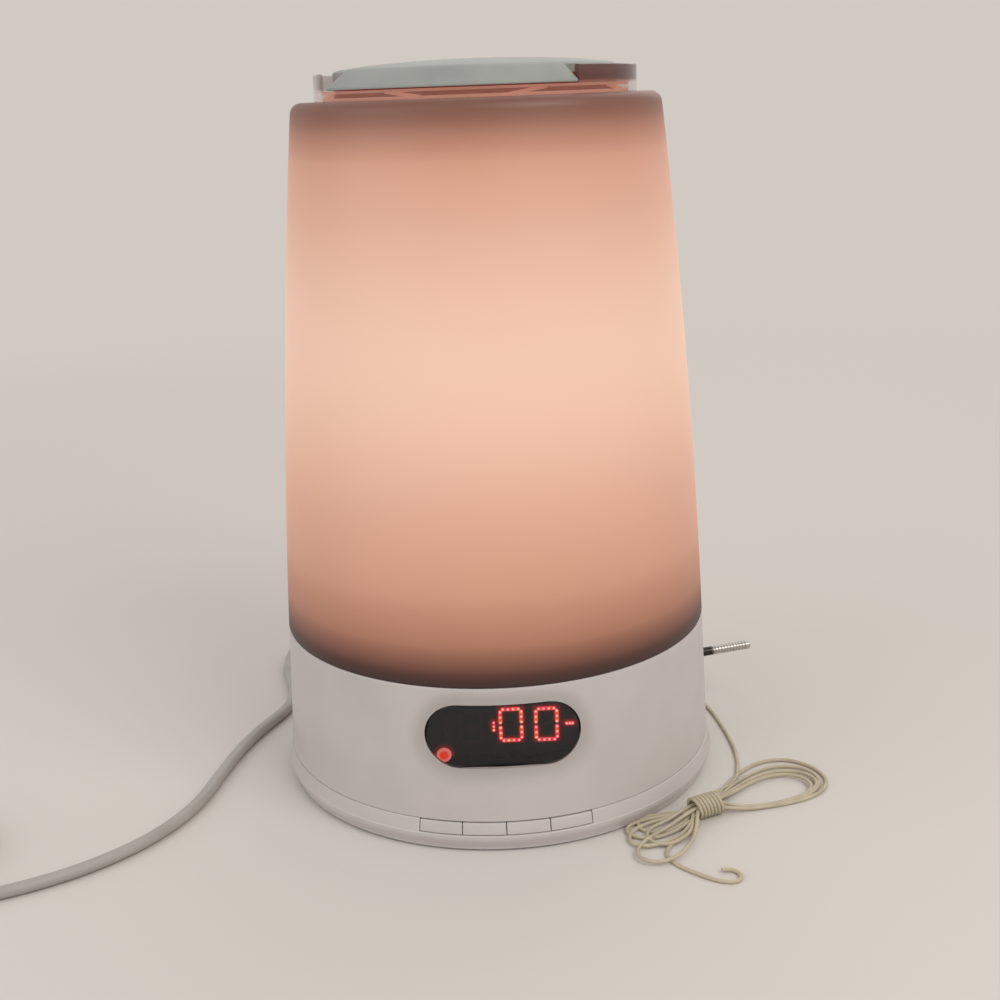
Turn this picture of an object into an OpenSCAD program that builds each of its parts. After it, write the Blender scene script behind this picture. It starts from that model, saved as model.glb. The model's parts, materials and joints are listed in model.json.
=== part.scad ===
// Bedside sunrise alarm clock: a round lamp with a frosted shade, a clock base, a twist-off vent cap,
// a mains lead and a wire aerial. Millimetres, +Z up, lamp axis on Z, table at z = 0, front at -Y.

/* [Base] */
// Radius of the base at its widest, just below the key strip
rim_r = 91.2; // [82:0.2:110]
// How far the rim draws in from there to its lower edge
rim_tuck = 1.8; // [0.6:0.1:3]
// How much the key strip leans in from its foot to its top
strip_lean = 1; // [0.4:0.1:2]
// Ledge between the key strip and the base wall
ledge = 0.4; // [0.2:0.1:1]
// Height of the key strip's foot above the table
strip_foot_z = 7.2; // [6.5:0.1:9]
// Height of the key strip's top, where the base wall starts
strip_top_z = 12.4; // [11.5:0.1:15]
// How much the base wall leans in from the strip to the seam
base_lean = 2.2; // [0:0.1:5]
// Height of the seam between base and shade
seam_z = 66; // [64:0.5:80]
// Thickness of the moulded base wall
wall = 2.4; // [1.8:0.1:3]
// Thickness of the base plate
plate_t = 2.2; // [1.8:0.1:3]
// Height of the rubber foot ring below the base plate
foot_h = 1.6; // [1.2:0.1:2]

/* [Shade] */
// Height of the shade's top face above the table
shade_top_z = 275; // [228:0.5:330]
// Straight part of the shade's taper
shade_taper = 9.2; // [4:0.1:14]
// Curved part of the shade's taper, strongest at the top
shade_bow = 7.2; // [0:0.1:10]
// Rounding of the shade's top corner
shade_corner = 4.5; // [2:0.5:8]
// Thickness of the frosted shade
shade_wall = 2.2; // [1.6:0.1:3]
// Radius of the opening in the shade's top
mouth_r = 54; // [46:0.5:57]

/* [Top] */
// Height of the vent ring between shade and cap
vent_h = 3.7; // [3.6:0.1:6]
// Outer radius of the clear ring around the cap
clear_r = 62; // [60:0.5:64]
// Height of the clear ring's two raised arcs above the shade
clear_h = 10; // [9:0.1:14]
// Height of the cap's crown above the shade
cap_h = 14.2; // [12:0.1:16]
// How far the cap's crown domes up from its edge to its middle
cap_dome = 3; // [2:0.1:4]
// How far the cap turns from locked to free
cap_turn = 8; // [7:1:12]

/* [Clock display] */
// Width of the pill-shaped window
window_w = 58.5; // [50:0.5:66]
// Height of the pill-shaped window
window_h = 25; // [20:0.5:28]
// Height of the window's centre above the table
window_z = 46.5; // [40:0.5:52]
// Width of the shallow dish around the window
dish_w = 3.5; // [2:0.1:5]
// Height of the digits
digit_h = 14.2; // [10:0.1:15]
// Width of a digit
digit_w = 9.4; // [6:0.1:10]
// Distance from one digit to the next
digit_pitch = 13.4; // [11:0.1:14]
// Diameter of the alarm light
alarm_d = 6.6; // [4:0.1:8]

/* [Keys] */
// Angle from one key to the next, around the lamp axis
key_pitch = 10.7; // [9:0.1:12]
// Gap between neighbouring keys and around them
key_gap = 0.3; // [0.25:0.05:0.5]
// Travel of a key
key_travel = 0.8; // [0.5:0.1:1]

/* [Radio] */
// Angle of the tuning spindle behind the right side
tuner_az = 17; // [10:1:25]
// Height of the tuning spindle above the table
tuner_z = 28; // [26:0.5:32]
// Radius of the tuning spindle
spindle_r = 2; // [1.5:0.1:3]
// How far the bare spindle stands out of the base wall
spindle_out = 33; // [20:1:40]

/* [Leads] */
// Diameter of the mains lead
cord_d = 5; // [4:0.1:7]
// Length of the strain relief outside the base
relief_l = 26; // [20:1:60]
// Angle of the mains inlet, from the back towards the left
cord_az = 25; // [22:1:35]
// Height of the mains inlet above the table
cord_z = 19; // [18:0.5:24]
// Diameter of the aerial wire
wire_d = 1.5; // [1:0.1:2]

/* [Hidden] */
$fn = 96;
fit = 0.2;                 // gap around a piece that drops into place
run = 0.05;                // radial clearance of a shaft or screw in its hole
far = 400;                 // longer than anything it cuts

// base outline
strip_foot_r = rim_r - 0.2;
strip_top_r = strip_foot_r - strip_lean;
wall_r = strip_top_r - ledge;
seam_r = wall_r - base_lean;
floor_z = foot_h + plate_t;
plate_r = rim_r - rim_tuck - 3.4;
deck_t = 2.4;
deck_z = seam_z - 3.6;     // top of the deck that carries the lampholder
spigot_r = seam_r - shade_wall - 0.5;
spigot_h = 4;
function base_r(z) = wall_r - base_lean * (z - strip_top_z) / (seam_z - strip_top_z);
function base_in(z) = base_r(z) - wall;

// shade outline
function shade_r(z) = let (t = (z - seam_z) / (shade_top_z - seam_z))
    seam_r - shade_taper * t - shade_bow * t * t;

// screw posts under the deck
post_pos = [57, 40.7];
post_r = 4.5;
base_screw_r = 1.5;
small_screw_r = 1;
foot_r = rim_r - 11.2;
foot_w = 6;

// clock display, seen from the front; digit_y is the lit face
digit_y = -(base_r(window_z) - 8.2);
block_size = [57, 6, 21];
board_size = [76, 1.6, 26];
board_y = digit_y + block_size[1];
display_screw_x = 33;
segment_w = 1.5;
digit_z = window_z + 1.4;
minute_x = 3.2;            // centre of the tens-of-minutes digit
colon_x = -3.2;
hour_x = -11.8;
dash_x = 26.2;
alarm_pos = [-22.5, 36.8 - 46.5];

// keys
key_count = 4;
key_t = 2.6;
key_z = (strip_foot_z + strip_top_z) / 2;
key_board_r = strip_top_r - 9.4;
key_board_t = 1.6;
switch_r0 = key_board_r + key_board_t + 0.05;
switch_t = 3.9;
switch_w = 6;
stem_r = 1.5;
key_span = key_count * key_pitch + 2 * asin(key_gap / 2 / strip_foot_r);
function key_az(i) = (i - (key_count - 1) / 2) * key_pitch;

// inner parts on the base plate
main_size = [84, 66, 1.6];
main_pos = [-42, -52, 12];
main_top = main_pos[2] + main_size[2];
main_holes = [[-36, -44], [36, -44], [-36, 8], [36, 8]];
pillar_r = 3.5;
core_size = [34, 14, 28];
core_pos = [-34, 40];
core_leg = 5.5;
core_window = 6;
coil_depth = 26;
terminal_size = [18, 10, 12];
terminal_pos = [-4, 27];

// speaker on the rear wall
speaker_r = 22;
speaker_z = 37;
speaker_y = wall_r - 19.6; // plane of the speaker's front flange
flange_t = 1.4;
basket_l = 10.6;
magnet_r = 13;
magnet_l = 8;
slot_w = 2.4;
slot_pitch = 5;
slot_count = 7;

// radio, in a frame turned to the spindle
radio_t = 1.6;
tuner_size = [16, 20, 20];
tuner_x = wall_r - 29.6;   // inner face of the tuner body
radio_z = tuner_z - tuner_size[2] / 2;
radio_x = tuner_x - 12;
radio_w = 28;
radio_holes = [radio_x + 4, radio_w / 2 - 4];
bush_r = 3.5;
nut_r = 5;
nut_t = 2.2;
ridge_pitch = 1.5;
ridge_depth = 0.28;

// lampholder and bulb, up from the deck
plate_top = deck_z + 0.8;  // top of the reflector plate
holder_r = 19.5;
holder_low_r = 22;
holder_low = deck_z - 12;
holder_h = 33;
flange_r = 30;
holder_bore_r = 14.2;
holder_screw_r = 27;
deck_hole_r = 24;
cap_thread_r = 13.2;
cap_base_z = deck_z + 4.6;
cap_top_z = cap_base_z + 27;
bulb_r = 30;
bulb_z = cap_top_z + 57;   // centre of the bulb's round end
glass_t = 0.9;
lead_x = 6;
lead_r = 1.2;

// vent ring, clear ring and cap, up from the shade's top face
vent_r = 58.6;
vent_in = 56.6;
lip_r = 54.6;
lip_t = 1;
vent_z = shade_top_z + vent_h;
rib_count = 8;             // long ribs that slope up and down in turn
rib_start = -117;
rib_t = 1.4;
rib_w = 1.2;
rib_l = 14;
rib_slope = asin((vent_h - 1.6) / rib_l);
clear_t = 2.4;
arc_start = 35.4;          // raised arcs, from the front towards the right
arc_angle = 73;
notch_start = 35;
notch_angle = arc_angle + cap_turn + 2;
skirt_z = vent_z + 0.3;
cap_z = shade_top_z + cap_h;
crown_r = 54;
cap_wall = 2;
collar_r = lip_r - 0.3;
lug_count = 3;
lug_angle = 6;
shield_r = 47;

// mains inlet, in a frame turned to the inlet
gland_r = 4;
gland_x = base_r(cord_z) + 0.25;
relief_x = gland_x + 2 + relief_l;

// the leads keep their distance when the lamp grows
spread = rim_r / 91.2;
function spread_out(route) = [for (p = route) [p[0] * spread, p[1] * spread, p[2]]];

// mains lead route from the strain relief's tip to the coil; heights are of the lead's centre
cord_lift = 0.6;
coil_centre = [-240 * spread, -82 * spread];
coil_in = 22;
coil_wide = 3;
coil_high = 2;
cord_out = [[-54, 115.8, 18.6], [-58.4, 122.4, 17.6], [-64.5, 127.4, 15.9], [-71.9, 130.4, 13.6],
    [-79.8, 131, 11.2], [-87.6, 129.3, 8.6], [-94.5, 125.4, 6.3], [-99.9, 119.6, 4.3],
    [-103.3, 112.4, 3], [-104.5, 104.6, 2.5], [-103.9, 92, 2.5], [-101, 79, 2.5],
    [-98, 66, 2.5], [-97, 54, 2.5], [-99, 42, 2.5], [-104, 31, 2.5], [-109.5, 18, 2.5],
    [-114, 4, 2.5], [-117.5, -11, 2.5], [-120.5, -27, 2.5], [-124, -44, 2.5], [-131, -61, 2.5],
    [-142, -77, 2.5], [-157, -91, 2.5], [-175, -102, 2.5], [-195, -110, 2.5], [-217, -115, 2.8]];
plug_pos = [-274.5, -40, 6.9];
plug_w = 35;
plug_h = 13.7;
plug_l = 31;
plug_neck = 12;
pin_pitch = 19;
pin_r = 2;

// aerial wire route: grommet to hank, and hank to the loose end
aerial_az = 50;
aerial_z = 17;
grommet_r = 2.6;
grommet_x = base_r(aerial_z) + 0.1;
aerial_x = grommet_x + 2;
aerial_tip = [aerial_x * cos(aerial_az), aerial_x * sin(aerial_az), aerial_z];
aerial_out = [[61.5, 73.3, 16.4], [63.5, 76, 13.5], [66, 78.5, 8], [69, 79.5, 3], [73.5, 77.5, 1],
    [79, 71, 0.8],
    [85, 61, 0.8], [90.5, 49, 0.8], [95, 35, 0.8], [98, 21, 0.8], [99.5, 7, 0.8], [100.5, -7, 0.8],
    [100.5, -21, 0.8], [98.5, -34, 0.8], [95, -46, 1]];
aerial_end = [[-24, -25.5, 1.5], [-21.5, -29.5, 0.9], [-17.8, -33.5, 0.8], [-13.3, -38.3, 0.8],
    [-8.4, -42.6, 0.8], [-4.4, -45.3, 0.8], [-0.8, -46.4, 0.8], [1.5, -46.2, 0.8], [3.3, -44.8, 0.8],
    [4, -42.7, 0.8], [3.5, -40.5, 0.9], [1.9, -38.9, 1], [-0.3, -38.4, 1.2], [-2.5, -39.1, 1.5]];
hank_pos = [80 * spread, -73 * spread];
hank_join = [8, 14, 2];
hank_turn = 36.9;
hank_h = 7;
hank_left = [-40, -3, 10];
hank_right = [46, 0, 16];
hank_waist = 4.5;

// ---- helpers ----

module to_front() {
    rotate([90, 0, 0]) children();
}

module to_back() {
    rotate([-90, 0, 0]) children();
}

// turns a shape drawn along +X so that it points out at an angle from +X
module point_out(angle, z) {
    rotate([0, 0, angle]) translate([0, 0, z]) rotate([0, 90, 0]) children();
}

module stadium(w, h) {
    square([w - h, h], center = true);
    for (side = [-1, 1]) translate([side * (w - h) / 2, 0]) circle(d = h);
}

// a band of the base wall between two depths below its surface
module wall_band(depth_out, depth_in) {
    rotate_extrude() polygon([[base_r(strip_top_z) - depth_out, strip_top_z],
        [base_r(seam_z) - depth_out, seam_z], [base_r(seam_z) - depth_in, seam_z],
        [base_r(strip_top_z) - depth_in, strip_top_z]]);
}

// a stadium pushed through the front wall
module front_prism(w, h) {
    translate([0, 0, window_z]) to_front() linear_extrude(rim_r + 20) stadium(w, h);
}

module screw(shank_r, length, head_r, head_h) {
    translate([0, 0, -length]) cylinder(r = shank_r, h = length + 0.1);
    difference() {
        cylinder(r = head_r, h = head_h);
        for (turn = [0, 90]) rotate([0, 0, turn]) translate([0, 0, head_h])
            cube([head_r * 1.3, 0.6, 0.8], center = true);
    }
}

module at_posts() {
    for (x = [-1, 1], y = [-1, 1]) translate([x * post_pos[0], y * post_pos[1], 0]) children();
}

// a ring sector of the given radii, height and angle, starting at an angle from the front
module sector(r_in, r_out, z0, z1, start, angle) {
    rotate([0, 0, start - 90]) rotate_extrude(angle = angle) translate([r_in, z0])
        square([r_out - r_in, z1 - z0]);
}

// route functions: a smooth curve through the points, then a tube along it
function smooth_point(a, b, c, d, t) = 0.5 * (2 * b + (c - a) * t + (2 * a - 5 * b + 4 * c - d) * t * t
    + (3 * b - a - 3 * c + d) * t * t * t);
function smooth(route, steps) = let (last = len(route) - 1) [for (i = [0 : last - 1], k = [0 : steps - 1])
    smooth_point(route[max(i - 1, 0)], route[i], route[i + 1], route[min(i + 2, last)],
        k / steps), route[last]];
function above_table(path, r) = [for (p = path) [p[0], p[1], max(p[2], r)]];
function unit(v) = v / norm(v);
function heading(path, i) = unit(path[min(i + 1, len(path) - 1)] - path[max(i - 1, 0)]);
function ring_point(p, dir, r, a) = let (side = unit(cross(dir, [0, 0, 1])), rise = cross(side, dir))
    p + r * (cos(a) * side + sin(a) * rise);

module tube(path, d, sides) {
    count = len(path);
    points = [for (i = [0 : count - 1], k = [0 : sides - 1])
        ring_point(path[i], heading(path, i), d / 2, 360 * k / sides)];
    walls = [for (i = [0 : count - 2], k = [0 : sides - 1])
        [i * sides + k, i * sides + (k + 1) % sides, (i + 1) * sides + (k + 1) % sides, (i + 1) * sides + k]];
    start = [for (k = [sides - 1 : -1 : 0]) k];
    end = [for (k = [0 : sides - 1]) (count - 1) * sides + k];
    polyhedron(points, concat([start], [end], walls), convexity = 10);
}

// ---- base ----

module base_plate() {
    color("whitesmoke") difference() {
        union() {
            translate([0, 0, foot_h]) cylinder(r = plate_r, h = plate_t);
            for (p = main_holes) translate([p[0], p[1], floor_z - 0.1])
                cylinder(r = pillar_r, h = main_pos[2] - floor_z + 0.1);
            rotate([0, 0, tuner_az]) for (side = [-1, 1])
                translate([radio_holes[0], side * radio_holes[1], floor_z - 0.1])
                cylinder(r = pillar_r, h = radio_z - radio_t - floor_z + 0.1);
        }
        at_posts() cylinder(r = base_screw_r + 0.3, h = far, center = true);
        for (p = main_holes) translate([p[0], p[1], floor_z]) cylinder(r = small_screw_r + run, h = far);
        rotate([0, 0, tuner_az]) for (side = [-1, 1])
            translate([radio_holes[0], side * radio_holes[1], floor_z])
            cylinder(r = small_screw_r + run, h = far);
        for (i = [-3 : 3]) translate([i * 7, 0, 0]) cube([2.4, 30, 3 * floor_z], center = true);
    }
}

module foot_ring() {
    color("dimgray") rotate_extrude() polygon([[foot_r - foot_w, foot_h], [foot_r - foot_w + 0.6, 0],
        [foot_r - 0.6, 0], [foot_r, foot_h]]);
}

module rim_ring() {
    lip_in = plate_r - 2;
    color("whitesmoke") difference() {
        rotate_extrude() polygon([[plate_r + fit, 0.6], [rim_r - rim_tuck - 0.9, 0.6],
            [rim_r - rim_tuck - 0.2, 0.9], [rim_r - rim_tuck, 1.6], [rim_r - 0.4, 4.4],
            [rim_r, strip_foot_z - 0.8], [rim_r, strip_foot_z - 0.3],
            [strip_foot_r, strip_foot_z], [strip_top_r, strip_top_z],
            [wall_r - wall - 0.6, strip_top_z], [wall_r - wall - 0.6, strip_top_z - 1.6],
            [strip_top_r - 2, strip_top_z - 1.8], [strip_foot_r - 2.4, strip_foot_z - 0.2],
            [strip_foot_r - 2.8, floor_z + 1.6], [lip_in, floor_z + 1.6], [lip_in, floor_z],
            [plate_r + fit, floor_z]]);
        sector(strip_top_r - 12, rim_r + 1, strip_foot_z + 0.1, far, -key_span / 2, key_span);
    }
}

module speaker_slots() {
    for (i = [0 : slot_count - 1]) {
        x = (i - (slot_count - 1) / 2) * slot_pitch;
        h = 2 * sqrt(pow(speaker_r - 3, 2) - x * x);
        translate([x, 0, speaker_z]) rotate([0, 90, 0]) to_front() mirror([0, 0, 1])
            linear_extrude(rim_r + 10) stadium(h, slot_w);
    }
}

module housing_shell() {
    rotate_extrude() polygon([[wall_r, strip_top_z], [seam_r, seam_z], [spigot_r, seam_z],
        [spigot_r, seam_z + spigot_h], [spigot_r - shade_wall, seam_z + spigot_h],
            [spigot_r - shade_wall, deck_z],
        [deck_hole_r, deck_z], [deck_hole_r, deck_z - deck_t], [base_in(deck_z - deck_t), deck_z - deck_t],
        [base_in(strip_top_z), strip_top_z]]);
}

// room inside the base wall, reaching halfway into the wall so that bosses join it
module housing_room() {
    rotate_extrude() polygon([[0, strip_top_z + 0.4], [base_r(strip_top_z) - wall / 2, strip_top_z + 0.4],
        [base_r(deck_z) - wall / 2, deck_z - 0.4], [0, deck_z - 0.4]]);
}

module base_housing() {
    color("white") difference() {
        union() {
            difference() {
                housing_shell();
                front_prism(window_w + 0.3, window_h + 0.3);
                intersection() {
                    wall_band(-5, 0.7);
                    front_prism(window_w + 2 * dish_w, window_h + 2 * dish_w);
                }
                speaker_slots();
                point_out(90 + cord_az, cord_z) cylinder(r = gland_r + 0.15, h = far);
                point_out(aerial_az, aerial_z) cylinder(r = grommet_r - 0.9 + 0.1, h = far);
                point_out(tuner_az, tuner_z) cylinder(r = bush_r + 0.1, h = far);
            }
            at_posts() translate([0, 0, floor_z]) cylinder(r = post_r, h = deck_z - floor_z - 0.5);
            intersection() {
                housing_room();
                union() {
                    for (side = [-1, 1]) translate([side * display_screw_x, board_y, window_z]) to_front()
                        cylinder(r = 3, h = 40);
                    translate([0, speaker_y, speaker_z]) to_back() difference() {
                        cylinder(r = speaker_r + 1.5, h = 40);
                        translate([0, 0, -1]) cylinder(r = speaker_r - 1, h = 60);
                    }
                }
            }
        }
        at_posts() cylinder(r = base_screw_r + run, h = floor_z + 16);
        for (side = [-1, 1]) translate([side * display_screw_x, board_y, window_z]) to_front()
            translate([0, 0, -0.5]) cylinder(r = small_screw_r + run, h = 4.5);
        for (turn = [0, 120, 240]) rotate([0, 0, turn + 30]) translate([holder_screw_r, 0, 0])
            cylinder(r = small_screw_r + run, h = far);
    }
}

module base_screws() {
    color("silver") at_posts() translate([0, 0, foot_h]) mirror([0, 0, 1]) screw(base_screw_r, 14, 3, 1.2);
}

// ---- clock display ----

module display_window() {
    color("black") intersection() {
        wall_band(0.9, 2.7);
        front_prism(window_w, window_h);
    }
}

module display_board() {
    color("darkgreen") difference() {
        translate([-board_size[0] / 2, board_y, window_z - board_size[2] / 2]) cube(board_size);
        for (side = [-1, 1]) translate([side * display_screw_x, 0, window_z]) to_front()
            cylinder(r = small_screw_r + 0.1, h = far, center = true);
    }
}

module digit_block() {
    color([0.08, 0.07, 0.07]) translate([-block_size[0] / 2, digit_y + 0.3, window_z - block_size[2] / 2])
        cube([block_size[0], block_size[1] - 0.3, block_size[2]]);
}

// one bar of a digit, drawn flat
module segment(length) {
    half = length / 2 - 0.25;
    tip = segment_w / 2;
    polygon([[-half, 0], [-half + tip, tip], [half - tip, tip], [half, 0], [half - tip, -tip],
        [-half + tip, -tip]]);
}

// segments are numbered from the top bar clockwise, 6 is the middle bar
module digit(bars) {
    w = digit_w - segment_w;
    h = (digit_h - segment_w) / 2;
    place = [[0, h, 0, w], [w / 2, h / 2, 90, h], [w / 2, -h / 2, 90, h], [0, -h, 0, w],
        [-w / 2, -h / 2, 90, h], [-w / 2, h / 2, 90, h], [0, 0, 0, w]];
    for (i = bars) translate([place[i][0], place[i][1]]) rotate(place[i][2]) segment(place[i][3]);
}

module on_block() {
    translate([0, digit_y + 0.3, digit_z]) to_front() linear_extrude(0.3) children();
}

module digits_lit() {
    color("red") on_block() {
        for (i = [0, 1]) translate([minute_x + i * digit_pitch, 0]) digit([0, 1, 2, 3, 4, 5]);
        translate([colon_x, -1.6]) square([1.4, 1.4], center = true);
        translate([colon_x, 1.6]) square([1.4, 1.4], center = true);
        translate([dash_x, 0]) square([3.6, 1.2], center = true);
    }
}

module digits_unlit() {
    color([0.2, 0.12, 0.12]) on_block() {
        for (i = [0, 1]) translate([minute_x + i * digit_pitch, 0]) digit([6]);
        translate([hour_x, 0]) digit([0, 1, 2, 3, 4, 5, 6]);
        translate([hour_x - digit_pitch, 0]) digit([1, 2]);
    }
}

module alarm_light() {
    color("orangered") translate([alarm_pos[0], digit_y + 0.3, window_z + alarm_pos[1]]) to_front()
        cylinder(d = alarm_d, h = 0.6);
}

// ---- keys ----

module key(i) {
    edge = asin(key_gap / 2 / strip_foot_r);
    color("white") {
        rotate([0, 0, key_az(i) - key_pitch / 2 + edge - 90]) rotate_extrude(angle = key_pitch - 2 * edge)
            polygon([[strip_top_r - key_t + 1, strip_foot_z + 0.1 + key_gap],
                [strip_foot_r - 0.06, strip_foot_z + 0.1 + key_gap],
                [strip_top_r + 0.06, strip_top_z - key_gap],
                    [strip_top_r - key_t + 1, strip_top_z - key_gap]]);
        point_out(key_az(i) - 90, key_z) translate([0, 0, switch_r0 + 1.2])
            cylinder(r = stem_r, h = strip_top_r - key_t + 1.3 - switch_r0 - 1.2);
    }
}

module key_1() { key(0); }
module key_2() { key(1); }
module key_3() { key(2); }
module key_4() { key(3); }

module key_board() {
    color("darkgreen") sector(key_board_r, key_board_r + key_board_t, floor_z, strip_top_z + 0.6,
        -key_count * key_pitch / 2 - 2, key_count * key_pitch + 4);
}

module key_switches() {
    color("dimgray") for (i = [0 : key_count - 1]) point_out(key_az(i) - 90, key_z) difference() {
        translate([-switch_w / 2 + 0.4, -switch_w / 2, switch_r0]) cube([switch_w - 0.8, switch_w, switch_t]);
        cylinder(r = stem_r + run, h = far);
    }
}

// ---- boards and power parts ----

module main_board() {
    color("darkgreen") difference() {
        translate(main_pos) cube(main_size);
        for (p = main_holes) translate([p[0], p[1], 0]) cylinder(r = small_screw_r + 0.2, h = far);
    }
}

module capacitors() {
    color("navy") {
        for (c = [[-26, -30, 6.2, 20], [-11, -34, 5, 16], [1, -36, 4, 12], [12, -36, 4, 12]])
            translate([c[0], c[1], main_top]) cylinder(r = c[2], h = c[3]);
        translate([-32, -12, main_top]) cube([18, 8, 13]);
    }
}

module power_triac() {
    color("black") translate([15, -16, main_top]) {
        translate([0, 0, 3]) cube([10, 4.4, 15]);
        for (x = [2, 5, 8]) translate([x, 2.2, 0]) cylinder(r = 0.5, h = 3.2);
    }
}

module heat_sink() {
    fins = 6;
    color("silver") translate([11, -11.6, main_top]) linear_extrude(24) {
        square([30, 3]);
        for (i = [0 : fins - 1]) translate([i * (30 - 1.6) / (fins - 1), 0]) square([1.6, 13]);
    }
}

module board_chips() {
    color("black") {
        translate([20, -40, main_top]) cube([16, 16, 2.4]);
        translate([-8, -20, main_top]) cube([10, 7, 3]);
        translate([-36, 0, main_top]) cube([7, 5, 4]);
    }
}

module transformer_core() {
    leg_gap = core_leg + core_window / 2;
    color("dimgray") translate([core_pos[0], core_pos[1], floor_z]) difference() {
        translate([-core_size[0] / 2, -core_size[1] / 2, 0]) cube(core_size);
        for (side = [-1, 1]) translate([side * leg_gap - core_window / 2, -core_size[1], core_leg])
            cube([core_window, 2 * core_size[1], core_size[2] - 2 * core_leg]);
    }
}

module transformer_coil() {
    limb = 2 * core_leg;
    h = core_size[2] - 2 * core_leg - 0.4;
    color("goldenrod") translate([core_pos[0], core_pos[1], floor_z + core_leg + 0.2]) difference() {
        translate([-limb / 2 - core_window + 0.3, -coil_depth / 2, 0])
            cube([limb + 2 * core_window - 0.6, coil_depth, h]);
        translate([-limb / 2 - 0.2, -core_size[1] / 2 - 0.2, -1])
            cube([limb + 0.4, core_size[1] + 0.4, h + 2]);
    }
}

module mains_terminal() {
    color("ivory") translate([terminal_pos[0], terminal_pos[1], floor_z]) difference() {
        translate([-terminal_size[0] / 2, -terminal_size[1] / 2, 0]) cube(terminal_size);
        for (x = [-5, 0, 5]) {
            translate([x, 0, 4]) to_front() cylinder(r = 1.5, h = far, center = true);
            translate([x, 0, 6]) cylinder(r = 1.2, h = far);
        }
    }
}

module at_speaker() {
    translate([0, speaker_y, speaker_z]) to_front() children();
}

module speaker_frame() {
    color("dimgray") at_speaker() rotate_extrude() polygon([[speaker_r - 3, 0], [speaker_r, 0],
        [speaker_r, flange_t],
        [speaker_r - 1.6, flange_t + 0.6], [magnet_r, basket_l], [3, basket_l], [3, basket_l - 1],
        [magnet_r - 0.8, basket_l - 1], [speaker_r - 3, flange_t]]);
}

module speaker_cone() {
    color("black") at_speaker() rotate_extrude() polygon([[speaker_r - 3.2, 0.3], [speaker_r - 3.2, 0.9],
        [magnet_r - 3, basket_l - 2.4], [4, basket_l - 2], [0, basket_l - 3.2], [0, basket_l - 4],
        [4.4, basket_l - 2.9], [magnet_r - 3.6, basket_l - 3.2]]);
}

module speaker_magnet() {
    color("darkgray") at_speaker() translate([0, 0, basket_l]) cylinder(r = magnet_r, h = magnet_l);
}

// ---- radio ----

module radio_frame() {
    rotate([0, 0, tuner_az]) children();
}

module radio_board() {
    color("darkgreen") radio_frame() difference() {
        translate([radio_x, -radio_w / 2, radio_z - radio_t]) cube([tuner_size[0] + 12, radio_w, radio_t]);
        for (side = [-1, 1]) translate([radio_holes[0], side * radio_holes[1], 0])
            cylinder(r = small_screw_r + 0.2, h = far);
    }
}

module tuner_body() {
    color("lightgray") difference() {
        radio_frame() translate([tuner_x, -tuner_size[1] / 2, radio_z]) cube(tuner_size);
        point_out(tuner_az, tuner_z) translate([0, 0, tuner_x + 8]) cylinder(r = spindle_r + run, h = far);
    }
}

module tuner_bush() {
    start = tuner_x + tuner_size[0];
    color("silver") point_out(tuner_az, tuner_z) difference() {
        translate([0, 0, start]) cylinder(r = bush_r, h = base_r(tuner_z) + 3 - start);
        cylinder(r = spindle_r + run, h = far);
    }
}

module tuner_nut() {
    color("silver") point_out(tuner_az, tuner_z) translate([0, 0, base_r(tuner_z - nut_r) + 0.05])
        difference() {
        cylinder(r = nut_r, h = nut_t, $fn = 6);
        translate([0, 0, -1]) cylinder(r = bush_r + run, h = nut_t + 2);
    }
}

module tuner_spindle() {
    inner = tuner_x + 8.3;
    tip = base_r(tuner_z) + spindle_out;
    ridged = base_r(tuner_z) + 14;
    ridges = floor((tip - 1.2 - ridged) / ridge_pitch);
    color("gainsboro") point_out(tuner_az, tuner_z) rotate_extrude() polygon(concat([[0, inner],
        [spindle_r, inner], [spindle_r, ridged]],
        [for (i = [0 : ridges - 1], k = [0 : 3]) [spindle_r - (k == 1 || k == 2 ? ridge_depth : 0),
            ridged + (i + [0.4, 0.55, 0.85, 1][k]) * ridge_pitch]],
        [[spindle_r, tip - 0.5], [spindle_r - 0.5, tip], [0, tip]]));
}

// ---- lampholder and bulb ----

module lampholder() {
    color("ivory") difference() {
        rotate_extrude() polygon([[0, holder_low], [holder_low_r, holder_low], [holder_low_r, plate_top],
            [flange_r, plate_top], [flange_r, plate_top + 3], [24, plate_top + 3],
                [holder_r, plate_top + 5], [holder_r, plate_top + holder_h],
            [holder_bore_r, plate_top + holder_h], [holder_bore_r, holder_low + 10], [0, holder_low + 10]]);
        for (turn = [0, 120, 240]) rotate([0, 0, turn + 30]) translate([holder_screw_r, 0, plate_top - 1])
            cylinder(r = small_screw_r + 0.2, h = far);
    }
}

module lampholder_contacts() {
    color("goldenrod") {
        difference() {
            translate([0, 0, holder_low + 13]) cylinder(r = holder_bore_r - 0.05, h = 26);
            cylinder(r = cap_thread_r + 0.15, h = far);
        }
        translate([0, 0, holder_low + 10]) cylinder(r = 3, h = cap_base_z - holder_low - 10.3);
    }
}

module reflector_plate() {
    color("white") difference() {
        translate([0, 0, deck_z]) cylinder(r = spigot_r - shade_wall - 0.3, h = plate_top - deck_z);
        cylinder(r = deck_hole_r + 0.2, h = far);
        for (turn = [0, 120, 240]) rotate([0, 0, turn + 30]) translate([holder_screw_r, 0, 0])
            cylinder(r = small_screw_r + 0.2, h = far);
    }
}

module bulb_cap() {
    turns = 6;
    pitch = 3.4;
    foot = cap_base_z + 4;
    color("silver") rotate_extrude() polygon(concat([[0, cap_base_z], [4.5, cap_base_z],
        [9, cap_base_z + 3], [11.5, foot]],
        [for (i = [0 : turns - 1], k = [0 : 3]) [cap_thread_r - (k == 0 || k == 3 ? 0.9 : 0),
            foot + 0.4 + (i + [0, 0.3, 0.7, 1][k] * 0.96) * pitch]],
        [[cap_thread_r - 0.6, cap_top_z], [0, cap_top_z]]));
}

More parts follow.
